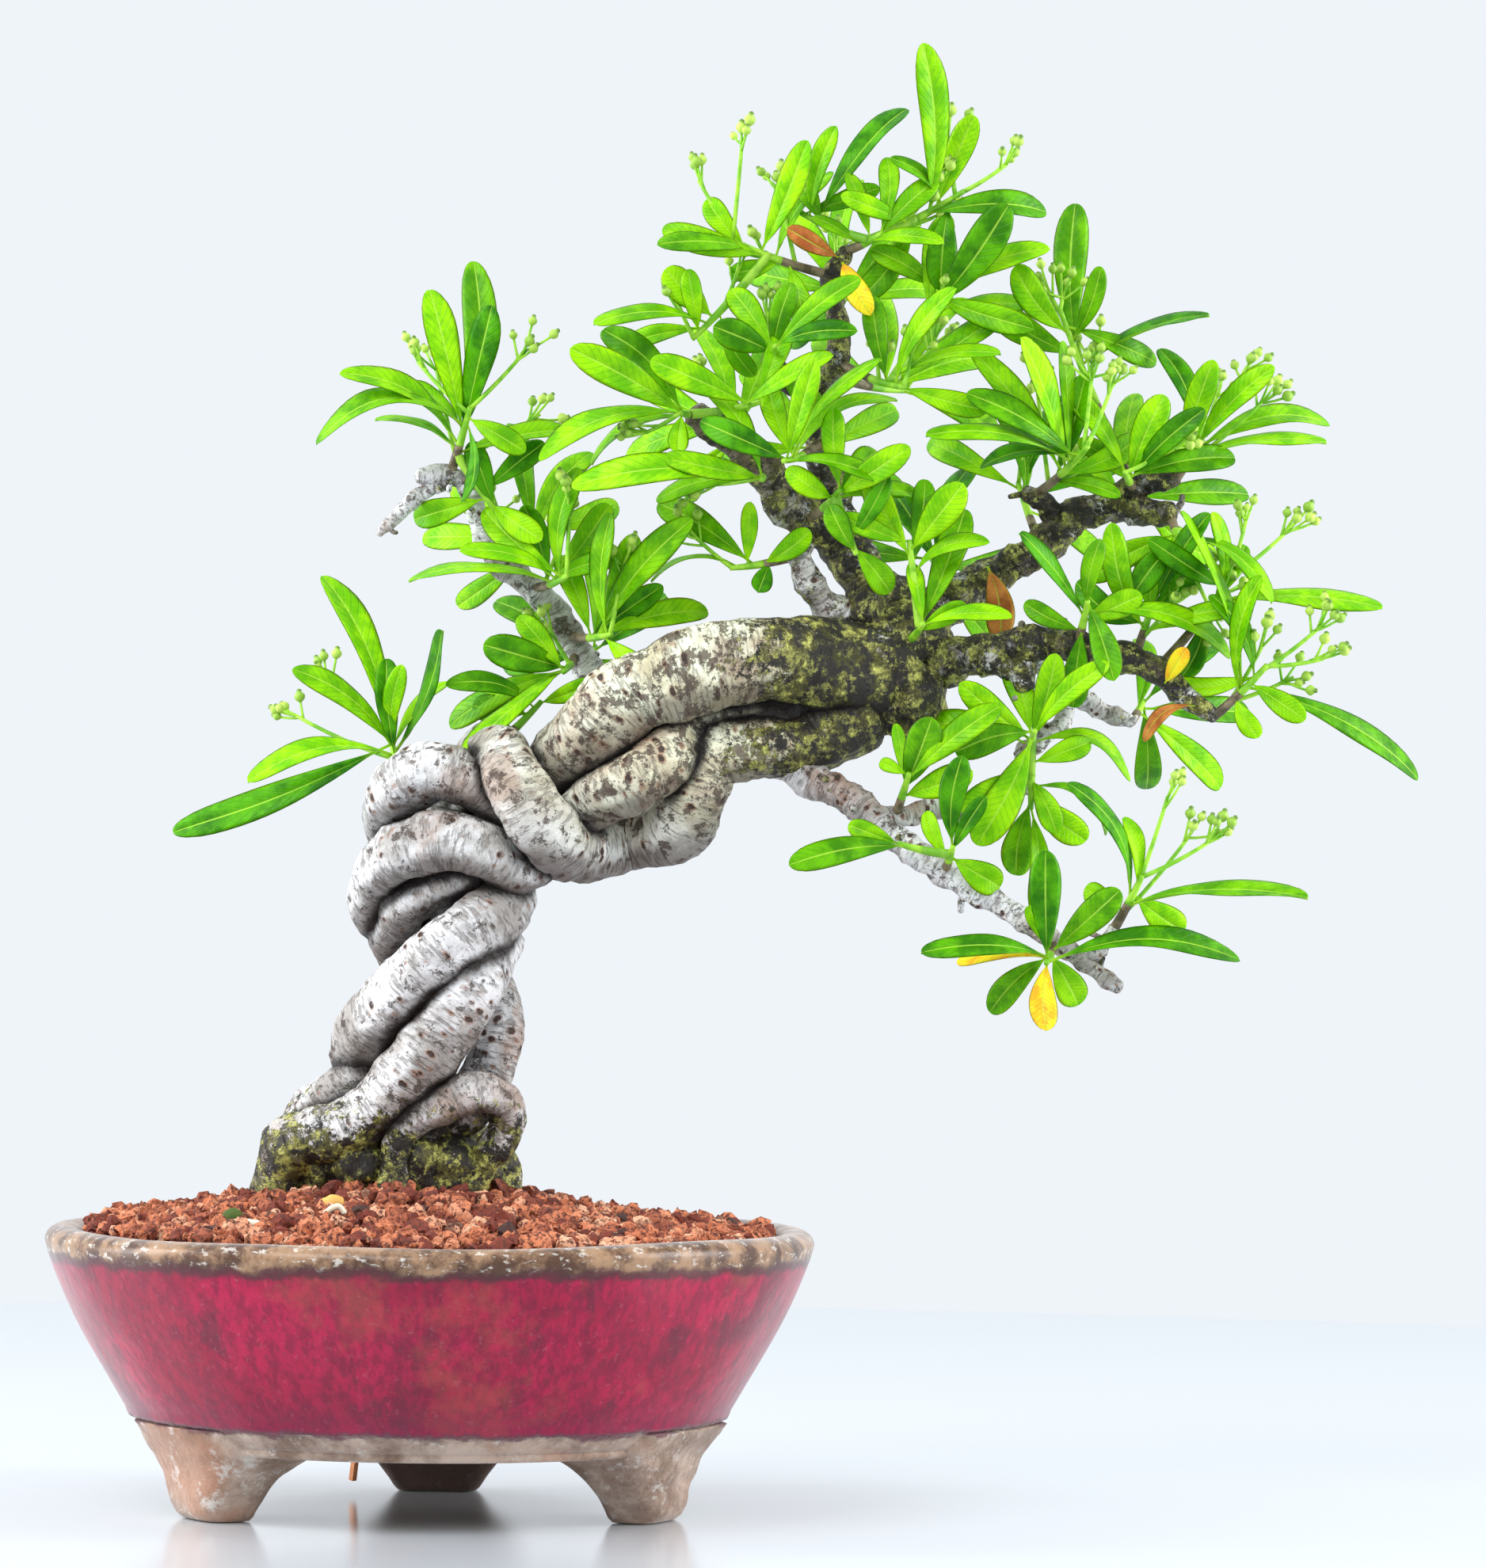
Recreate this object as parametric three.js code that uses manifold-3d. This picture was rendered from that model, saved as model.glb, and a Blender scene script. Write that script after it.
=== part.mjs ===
// A small firethorn bonsai: twisted stems, leafy sprays and buds, standing in soil in a glazed
// three-footed pot. Millimetres, +Z up; the origin is the middle of the bottom of the whole thing.
import * as THREE from 'three';
import { mergeVertices } from 'three/addons/utils/BufferGeometryUtils.js';
import Module from 'manifold-3d';

const wasm = await Module();
wasm.setup();

// ---------- Driving sizes ----------
const CLEARANCE = 0.3;            // gap kept between neighbouring solids

const RIM_RADIUS = 85.6;          // pot, outside, at the widest
const RIM_TOP = 63.2;             // height of the lip above the table
const LIP_HEIGHT = 3;             // height of the rounded lip
const WAIST_RADIUS = 66.4;        // outside, where the glaze ends
const WAIST_HEIGHT = 23;
const WAIST_BAND = 2;             // height of the band under the glaze
const BOWL_CURVE = 1.1;           // above 1 the wall stands more hollow at the waist
const SKIRT_RADIUS = 61;          // outer edge of the underside
const POT_WALL = 8.5;
const POT_FLOOR = 8;
const FLOOR_BEVEL = 2;            // inside, where the floor meets the wall
const FOOT_HEIGHT = 15.5;         // height of the underside above the table
const FOOT_SEAT = 53;             // how far out the middle of each foot stands
const FOOT_DEPTH = 11;            // foot, inside to outside
const FOOT_TOE = 18;              // foot width on the table
const FOOT_SHOULDER = 34;         // foot width at the pot
const FOOT_WAIST = 0.7;           // share of the foot's height where it starts to spread
const TOE_ROUND = 2;              // rounding of the foot's lower corners
const FOOT_COUNT = 3;
const FOOT_TURN = -4;             // degrees that the pot is turned
const DRAIN_RADIUS = 12;

const SCREEN_PITCH = 9;           // mesh over the drainage hole
const SCREEN_BAR = 1.5;
const SCREEN_LAP = 2;             // least that the mesh reaches past the drainage hole
const SCREEN_THICKNESS = 1;
const WIRE_RADIUS = 0.9;
const WIRE_BEND = 3;              // how far from each corner of a wire its bend begins
const CLIP_REACH = 7;             // how far the clip's ends spread past the drainage hole

const SOIL_DROP = 1.5;            // how far the soil's edge lies under the lip
const MOUND_HEIGHT = 11.5;
const MOUND_SPREAD = 53;
const MOUND_SHIFT = -8;           // the mound's middle, left of the pot's axis
const SOIL_BUMP = 0.7;

const TREE_HEIGHT = 240;          // soil mound to the highest twig of the tree as drawn
const STEM_GIRTH = 1;             // thickness of the wood against the radii written below
const ROOT_DEPTH = 14;            // how deep the stems go on into the mound
const TWIG_RADIUS = 0.95;
const LEAF_THICKNESS = 0.9;
const BUD_CLUSTER_RADIUS = 3.6;
const SHORTEST_LEAF = 15;         // leaves shorter than this are too small to be solids here

// The tree's points are written for a tree of DRAWN_HEIGHT over soil at DRAWN_SOIL.
const DRAWN_HEIGHT = 240;
const DRAWN_SOIL = 73;

const STEM_SIDES = 7;
const BRANCH_SIDES = 5;
const TWIG_SIDES = 4;
const LATHE_SEGMENTS = 32;
const SAME = 1e-4;                // points nearer than this are one point
const WELD = 1e-3;

// ---------- Materials ----------
function finish(color, roughness, metalness = 0) {
  return new THREE.MeshStandardMaterial({ color, roughness, metalness });
}
const glaze = finish(0x7a1f33, 0.18);
const soilEarth = finish(0x7d4632, 0.95);
const bark = finish(0xa8a297, 0.85);
const darkBark = finish(0x6b624f, 0.9);
const leafGreen = finish(0x4d7031, 0.45);
const meshPlastic = finish(0x2c2c2a, 0.6);
const copper = finish(0x9a5a34, 0.4, 0.8);

// ---------- Solids ----------
function solidOf(geometry) {
  const bare = geometry.index ? geometry.toNonIndexed() : geometry.clone();
  bare.deleteAttribute('normal');
  bare.deleteAttribute('uv');
  const merged = mergeVertices(bare, SAME);
  const triVerts = new Uint32Array(merged.index.array);
  const vertProperties = new Float32Array(merged.attributes.position.array);
  return new wasm.Manifold(new wasm.Mesh({ numProp: 3, vertProperties, triVerts }));
}

function geometryOf(solid) {
  const mesh = solid.getMesh();
  const geometry = new THREE.BufferGeometry();
  geometry.setAttribute('position', new THREE.BufferAttribute(new Float32Array(mesh.vertProperties), 3));
  geometry.setIndex(new THREE.BufferAttribute(new Uint32Array(mesh.triVerts), 1));
  geometry.computeVertexNormals();
  return geometry;
}

function joined(solids) {
  return solids.reduce((whole, next) => whole.add(next));
}

// The largest connected body, for wood that has been trimmed by the wood it grows against.
function mainBody(solid) {
  const bodies = solid.decompose();
  return bodies.reduce((best, next) => (next.volume() > best.volume() ? next : best));
}

function overlaps(a, b) {
  return a.intersect(b).volume() > SAME;
}

// True where each edge still joins exactly two faces after points nearer than WELD become one,
// so that the solid has no sliver too thin to be made.
function isSound(solid) {
  const { vertProperties, triVerts } = solid.getMesh();
  const welded = new Map();
  const idOf = (vertex) => {
    const key = [0, 1, 2].map((i) => Math.round(vertProperties[vertex * 3 + i] / WELD)).join();
    if (!welded.has(key)) welded.set(key, welded.size);
    return welded.get(key);
  };
  const edges = new Set();
  for (let i = 0; i < triVerts.length; i += 3) {
    const [a, b, c] = [idOf(triVerts[i]), idOf(triVerts[i + 1]), idOf(triVerts[i + 2])];
    if (a !== b && b !== c && c !== a) {
      const sides = [`${a} ${b}`, `${b} ${c}`, `${c} ${a}`];
      if (sides.some((side) => edges.has(side))) return false;
      sides.forEach((side) => edges.add(side));
    }
  }
  return [...edges].every((side) => edges.has(side.split(' ').reverse().join(' ')));
}

function solidOfFaces(points, faces) {
  const geometry = new THREE.BufferGeometry();
  const numbers = points.flatMap((point) => point.toArray());
  geometry.setAttribute('position', new THREE.Float32BufferAttribute(numbers, 3));
  geometry.setIndex(faces.flat());
  return solidOf(geometry);
}

function latheSolid(profile, segments = LATHE_SEGMENTS) {
  const outline = profile.map(([radius, height]) => new THREE.Vector2(radius, height));
  const geometry = new THREE.LatheGeometry(outline, segments);
  return solidOf(geometry.rotateX(Math.PI / 2));
}

// ---------- Pot ----------
const lipShoulder = RIM_TOP - LIP_HEIGHT;

function bowlRadius(height) {
  const rise = THREE.MathUtils.clamp((height - WAIST_HEIGHT) / (lipShoulder - WAIST_HEIGHT), 0, 1);
  return WAIST_RADIUS + (RIM_RADIUS - WAIST_RADIUS) * Math.sin(rise * Math.PI / 2) ** BOWL_CURVE;
}

function heightsBetween(low, high, count) {
  return Array.from({ length: count }, (_, i) => low + (high - low) * i / (count - 1));
}

const potFloorTop = FOOT_HEIGHT + POT_FLOOR;
const cavityRadius = (height) => bowlRadius(height) - POT_WALL;
const floorCorner = cavityRadius(potFloorTop) - FLOOR_BEVEL;
const cavityWall = heightsBetween(potFloorTop + FLOOR_BEVEL, lipShoulder, 4).map((z) => [cavityRadius(z), z]);

function makeFoot(turn) {
  const toe = FOOT_TOE / 2;
  const shoulder = FOOT_SHOULDER / 2;
  const top = FOOT_HEIGHT + POT_FLOOR / 2;
  const ankle = FOOT_HEIGHT * FOOT_WAIST;
  const front = new THREE.Shape();
  front.moveTo(-toe + TOE_ROUND, 0);
  front.lineTo(toe - TOE_ROUND, 0);
  front.quadraticCurveTo(toe, 0, toe + TOE_ROUND / 4, TOE_ROUND * 1.5);
  front.quadraticCurveTo(toe + TOE_ROUND, ankle, shoulder, FOOT_HEIGHT);
  front.lineTo(shoulder, top);
  front.lineTo(-shoulder, top);
  front.lineTo(-shoulder, FOOT_HEIGHT);
  front.quadraticCurveTo(-toe - TOE_ROUND, ankle, -toe - TOE_ROUND / 4, TOE_ROUND * 1.5);
  front.quadraticCurveTo(-toe, 0, -toe + TOE_ROUND, 0);
  const body = { depth: FOOT_DEPTH, bevelEnabled: false, curveSegments: 4 };
  const geometry = new THREE.ExtrudeGeometry(front, body);
  geometry.rotateX(Math.PI / 2);
  geometry.translate(0, -FOOT_SEAT + FOOT_DEPTH / 2, 0);
  geometry.rotateZ(THREE.MathUtils.degToRad(turn));
  return solidOf(geometry);
}

function makePot() {
  const lipMiddle = RIM_RADIUS - POT_WALL / 2;
  const lip = [35, 90, 145].map((degrees) => {
    const angle = THREE.MathUtils.degToRad(degrees);
    return [lipMiddle + POT_WALL / 2 * Math.cos(angle), lipShoulder + LIP_HEIGHT * Math.sin(angle)];
  });
  const outside = heightsBetween(WAIST_HEIGHT, lipShoulder, 6).map((z) => [bowlRadius(z), z]);
  const bowl = latheSolid([
    [DRAIN_RADIUS, FOOT_HEIGHT], [SKIRT_RADIUS, FOOT_HEIGHT], [WAIST_RADIUS, WAIST_HEIGHT - WAIST_BAND],
    ...outside, ...lip, ...cavityWall.toReversed(),
    [floorCorner, potFloorTop], [DRAIN_RADIUS, potFloorTop], [DRAIN_RADIUS, FOOT_HEIGHT],
  ]);
  const turns = Array.from({ length: FOOT_COUNT }, (_, i) => FOOT_TURN + 60 + i * 360 / FOOT_COUNT);
  return joined([bowl, ...turns.map(makeFoot)]);
}

// ---------- Drainage screen and wires ----------
const cellsBeside = Math.ceil((DRAIN_RADIUS + SCREEN_LAP - (SCREEN_PITCH + SCREEN_BAR) / 2) / SCREEN_PITCH);
const cellsAcross = 2 * cellsBeside + 1;
const screenSide = cellsAcross * SCREEN_PITCH + SCREEN_BAR;

function makeScreen() {
  const height = potFloorTop + CLEARANCE + SCREEN_THICKNESS / 2;
  const opening = SCREEN_PITCH - SCREEN_BAR;
  const sheet = new THREE.BoxGeometry(screenSide, screenSide, SCREEN_THICKNESS);
  let plate = solidOf(sheet.translate(0, 0, height));
  for (let row = -cellsBeside; row <= cellsBeside; row += 1) {
    for (let column = -cellsBeside; column <= cellsBeside; column += 1) {
      const cell = new THREE.BoxGeometry(opening, opening, SCREEN_THICKNESS * 2)
        .translate(column * SCREEN_PITCH, row * SCREEN_PITCH, height);
      plate = plate.subtract(solidOf(cell));
    }
  }
  return plate;
}

const screenTop = potFloorTop + CLEARANCE + SCREEN_THICKNESS;
// Wires go through the middle of a cell beside the central one, or as near as the hole lets them pass.
const bendCut = WIRE_BEND / 5;
const wireLane = Math.min(SCREEN_PITCH, DRAIN_RADIUS - CLEARANCE - WIRE_RADIUS - bendCut);
const underWire = FOOT_HEIGHT - CLEARANCE - WIRE_RADIUS;
const overWire = screenTop + CLEARANCE + WIRE_RADIUS;

function vectors(points) {
  return points.map(([x, y, z]) => new THREE.Vector3(x, y, z));
}

function wireSolid(points, radius, sides = 4) {
  const steps = points.length;
  return tube(new THREE.CatmullRomCurve3(vectors(points), false, 'centripetal'), () => radius, steps, sides);
}

function clipPath() {
  const half = [
    [wireLane - WIRE_BEND, 0, overWire], [wireLane - bendCut, 0, overWire - bendCut],
    [wireLane, 0, overWire - WIRE_BEND], [wireLane, 0, underWire + WIRE_BEND],
    [wireLane + bendCut, 0, underWire + bendCut], [wireLane + WIRE_BEND, 0, underWire],
    [DRAIN_RADIUS + CLIP_REACH, 0, underWire],
  ];
  return [...half.map(([x, y, z]) => [-x, y, z]).reverse(), ...half];
}

// The anchor wire runs from a free tail beside the back foot, up through the mesh, into the soil.
function anchorPath() {
  const back = FOOT_SEAT - FOOT_DEPTH;
  return [
    [-19, back, 3], [-18.4, back - 1, 8], [-17.5, back - 3, underWire - 1.5], [-15, back - 8, underWire],
    [-9, back - 20, underWire], [-2, wireLane + 8, underWire], [0, wireLane + WIRE_BEND, underWire],
    [0, wireLane + bendCut, underWire + bendCut], [0, wireLane, underWire + WIRE_BEND],
    [0, wireLane, screenTop + 5], [-3, wireLane + 1, screenTop + 14], [-7, wireLane + 2, screenTop + 22],
  ];
}

// ---------- Limbs: closed tubes whose radius changes along a curve ----------
function tube(curve, radiusAt, steps, sides, grow = 0) {
  const points = [];
  const tangent = curve.getTangent(0);
  const seed = Math.abs(tangent.z) < 0.8 ? new THREE.Vector3(0, 0, 1) : new THREE.Vector3(1, 0, 0);
  const across = seed.cross(tangent).normalize();
  for (let step = 0; step <= steps; step += 1) {
    const t = step / steps;
    const centre = curve.getPoint(t);
    const ahead = curve.getTangent(t);
    across.addScaledVector(ahead, -across.dot(ahead)).normalize();
    const other = new THREE.Vector3().crossVectors(ahead, across);
    for (let side = 0; side < sides; side += 1) {
      const angle = side / sides * Math.PI * 2;
      const radius = radiusAt(t) + grow;
      points.push(centre.clone().addScaledVector(across, Math.cos(angle) * radius)
        .addScaledVector(other, Math.sin(angle) * radius));
    }
  }
  const first = curve.getPoint(0).addScaledVector(curve.getTangent(0), -grow - radiusAt(0) * 0.3);
  const last = curve.getPoint(1).addScaledVector(curve.getTangent(1), grow + radiusAt(1) * 0.3);
  const firstTip = points.push(first) - 1;
  const lastTip = points.push(last) - 1;
  const faces = [];
  for (let side = 0; side < sides; side += 1) {
    const next = (side + 1) % sides;
    faces.push([firstTip, next, side]);
    for (let step = 0; step < steps; step += 1) {
      const a = step * sides;
      const b = a + sides;
      faces.push([a + side, a + next, b + next], [a + side, b + next, b + side]);
    }
    faces.push([lastTip, steps * sides + side, steps * sides + next]);
  }
  return solidOfFaces(points, faces);
}

const treeScale = TREE_HEIGHT / DRAWN_HEIGHT;
const soilEdge = RIM_TOP - SOIL_DROP;
const treeFoot = soilEdge + MOUND_HEIGHT;

function placed([x, y, z]) {
  return new THREE.Vector3(x * treeScale, y * treeScale, treeFoot + (z - DRAWN_SOIL) * treeScale);
}

// points: [x, y, z, radius]; the curve passes through each, and the radius eases between them.
function limbCurve(points) {
  const curve = new THREE.CatmullRomCurve3(points.map(placed), false, 'centripetal');
  const radii = points.map((point) => point[3] * STEM_GIRTH * treeScale);
  const radiusAt = (t) => {
    const place = t * (radii.length - 1);
    const index = Math.min(Math.floor(place), radii.length - 2);
    return THREE.MathUtils.lerp(radii[index], radii[index + 1], place - index);
  };
  return { curve, radiusAt, count: points.length };
}

function limb(points, sides, grow = 0) {
  const { curve, radiusAt, count } = limbCurve(points);
  return tube(curve, radiusAt, count - 1, sides, grow);
}

// ---------- Wood ----------
const stems = {
  trunk_stem_1: [
    [12, 7, 73, 6.7], [7, 12, 82, 7.1], [-4, 13, 89, 7.6], [-15, 7, 96, 7.7], [-14, -2, 105, 7.8],
    [-7, -10, 114, 8], [3, -13, 124, 8], [11, -11, 131, 7.8], [15, -2, 138, 7.6],
    [12, 8, 145, 7.1], [3, 13, 148, 7.1], [-7, 10, 149, 6.7], [-10, 1, 154, 6.7],
    [-7, -8, 160, 6.7], [0, -12, 164, 6.7], [8, -12, 162, 6.6], [16, -8, 157, 6.3],
    [23, -5, 152, 5.8], [28, -6, 153, 5.8], [34, -10, 157, 6.2], [41, -14, 161, 6.4],
    [50, -14, 166, 6.6], [58, -6, 173, 6.8], [71, -4, 177, 7.3], [87, 0, 180, 7.8],
  ],
  trunk_stem_2: [
    [-33, -5, 74, 5.5], [-30, -7, 81, 6.5], [-20, -10, 84, 6.5], [-12, -11, 89, 6.7],
    [-5, -13, 97, 7.6], [3, -13, 108, 7.7], [9, -11, 118, 7.6], [12, -2, 127, 7.1],
    [8, 8, 134, 7.1], [-2, 13, 135, 7.1], [-12, 7, 133, 6.7], [-13, -2, 139, 6.7],
    [-7, -10, 145, 6.7], [2, -14, 148, 6.7], [10, -15, 147, 6.6], [18, -10, 143, 6],
    [26, -1, 147, 5.8], [36, 9, 152, 6.7], [46, 14, 161, 7.5], [58, 16, 171, 7.8],
    [74, 13, 180, 7.8], [89, 8, 184, 7.8],
  ],
  trunk_stem_3: [
    [-6, -8, 73, 5], [-3, -7, 83, 5.5], [6, -4, 90, 6.3], [12, -2, 98, 6.6], [14, 0, 107, 6.6],
    [11, 7, 116, 6.7], [2, 12, 123, 6.7], [-8, 8, 126, 6.3], [-8, -2, 132, 5], [-2, -8, 137, 5],
    [7, -7, 141, 5.5], [14, 2, 146, 5.9], [15, 11, 155, 5.9], [9, 9, 164, 5.7], [12, -2, 169, 6.3],
    [16, -13, 166, 6.8], [20, -19, 159, 7], [25, -18, 151, 6.8], [31, -7, 147, 6.6],
    [42, 2, 150, 6.9], [54, -4, 153, 7.6], [58, -7, 160, 7.3], [61, -8, 168, 7.3],
    [71, -8, 170, 7.3], [84, -6, 172, 7.3], [94, -4, 178, 7.8],
  ],
  trunk_stem_4: [
    [-35, 3, 73, 5], [-30, 2, 84, 5.5], [-23, -1, 92, 5], [-14, -2, 98, 5], [-6, 7, 105, 6.3],
    [2, 13, 115, 6.7], [7, 15, 126, 6.7], [2, 17, 140, 6.7], [2, 17, 153, 6.7], [10, 17, 162, 6.7],
    [21, 13, 161, 6.7], [27, 4, 160, 6.9], [28, -5, 167, 7.8], [35, -12, 173, 8.3],
    [44, -14, 182, 8.8], [57, -14, 187, 9.5], [73, -11, 189, 9.7], [87, -6, 188, 10.2],
    [96, -2, 187, 10.7],
  ],
};

const rootLoop = [
  [-8, -14, 71, 3.5], [-6, -14, 84, 3.8], [2, -15, 90, 4.2], [9, -14, 93, 4.2], [15, -12, 92, 4.2],
  [17, -9, 86, 4.2], [13, -9, 79, 4.4], [8, -8, 72, 4.6],
];

// The foot of the trunk, where the roots have grown together: [x, y, z, radius] of its swellings.
const footSwellings = [
  [-27, -3, 74, 8], [-16, -6, 76, 9], [-4, -7, 76, 9.5], [4, -5, 76, 9.5], [7, 4, 76, 9], [0, 5, 76, 11],
  [-14, 5, 76, 9],
];

// The knob where the stems end: [x, y, z, radius] of the swellings that grew into one.
const knobSwellings = [[98, 0, 187, 13], [103, 2, 193, 12], [99, 3, 200, 10], [105, -2, 182, 9]];

// Each branch is a list of forks that share one piece of wood.
const branches = {
  branch_left: [
    [[43, 16, 168, 4.6], [43, 16, 177, 4.5], [36, 14, 184, 3.4], [30, 12, 193, 3.2], [25, 9, 202, 3],
      [18, 6, 208, 2.9], [12, 4, 213, 2.8], [9, 2, 221, 2.6], [6, 0, 228, 2.5], [2, -1, 230, 2.4],
      [-4, -2, 230, 2.2]],
    [[2, -1, 230, 2], [-1, -2, 228, 1.9], [-5, -3, 225, 1.6], [-9, -4, 221, 1.4], [-13, -5, 217, 1]],
  ],
  branch_crown: [
    [[99, 4, 198, 6.5], [96, 4, 208, 5.5], [88, 4, 218, 5], [79, 2, 223, 4.5], [73, 0, 231, 4.2],
      [67, -2, 238, 3.6], [62, -4, 240, 3], [57, -6, 244, 2.6]],
  ],
  branch_fork: [[[92, -1, 194, 4.6], [89, -2, 199, 4.2], [84, -4, 205, 3.4], [80, -5, 213, 2.8]]],
  leader: [
    [[96, 6, 208, 4.5], [91, 8, 219, 4.2], [87, 8, 230, 3.8], [85, 6, 240, 3.5], [86, 4, 249, 3],
      [89, 2, 258, 2.6], [88, 0, 266, 2.3], [87, -2, 275, 2], [90, -3, 281, 1.8]],
    [[86, 5, 247, 2.8], [81, 2, 251, 2.6], [77, 0, 253, 2.4], [73, -2, 257, 2.1]],
  ],
  branch_right_upper: [
    [[102, 5, 190, 6], [105, 6, 196, 5.5], [115, 10, 204, 4.5], [128, 10, 212, 4], [136, 8, 217, 3.8],
      [142, 6, 223, 3.6], [149, 4, 225, 3.4], [156, 2, 224, 3], [163, 0, 223, 2.6]],
    [[139, 6, 220, 3], [135, 4, 226, 2.4], [131, 2, 228, 1.8]],
    [[147, 5, 224, 3], [151, 3, 227, 2.8], [157, 2, 230, 2.5], [164, 0, 231, 2]],
  ],
  branch_right_lower: [
    [[103, 2, 189, 6], [113, -4, 190, 4.8], [124, -8, 192, 4.2], [134, -10, 194, 3.8],
      [146, -12, 192, 3.4], [158, -14, 189, 3.2], [165, -15, 183, 2.6], [172, -16, 178, 1.8]],
    [[122, -8, 191, 3.6], [127, -11, 189, 3.4], [129, -12, 187, 3.2], [130, -13, 184, 2.4]],
  ],
  branch_droop: [
    [[77, -4, 169, 5], [84, -8, 163, 3.8], [92, -12, 159, 3.4], [100, -16, 152, 3.2], [107, -18, 147, 3],
      [116, -20, 141, 2.8], [125, -22, 136, 2.5], [134, -24, 130, 2.2], [143, -24, 124, 2],
      [151, -25, 118, 1.6]],
    [[98, -15, 154, 2.6], [106, -12, 156, 2.4], [114, -10, 157, 2.2], [120, -9, 155, 2], [125, -8, 152, 1.6]],
    [[143, -24, 124, 1.6], [147, -24, 127, 1.5], [150, -25, 131, 1.3]],
  ],
  branch_under: [
    [[132, -10, 193, 3.2], [138, 2, 187, 2.8], [146, 6, 181, 2.2], [155, 8, 177, 1.6]],
    [[140, 3, 186, 2.2], [140, 1, 178, 2], [135, 0, 173, 2], [131, -1, 170, 2], [132, -2, 161, 1.2]],
  ],
};

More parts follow.
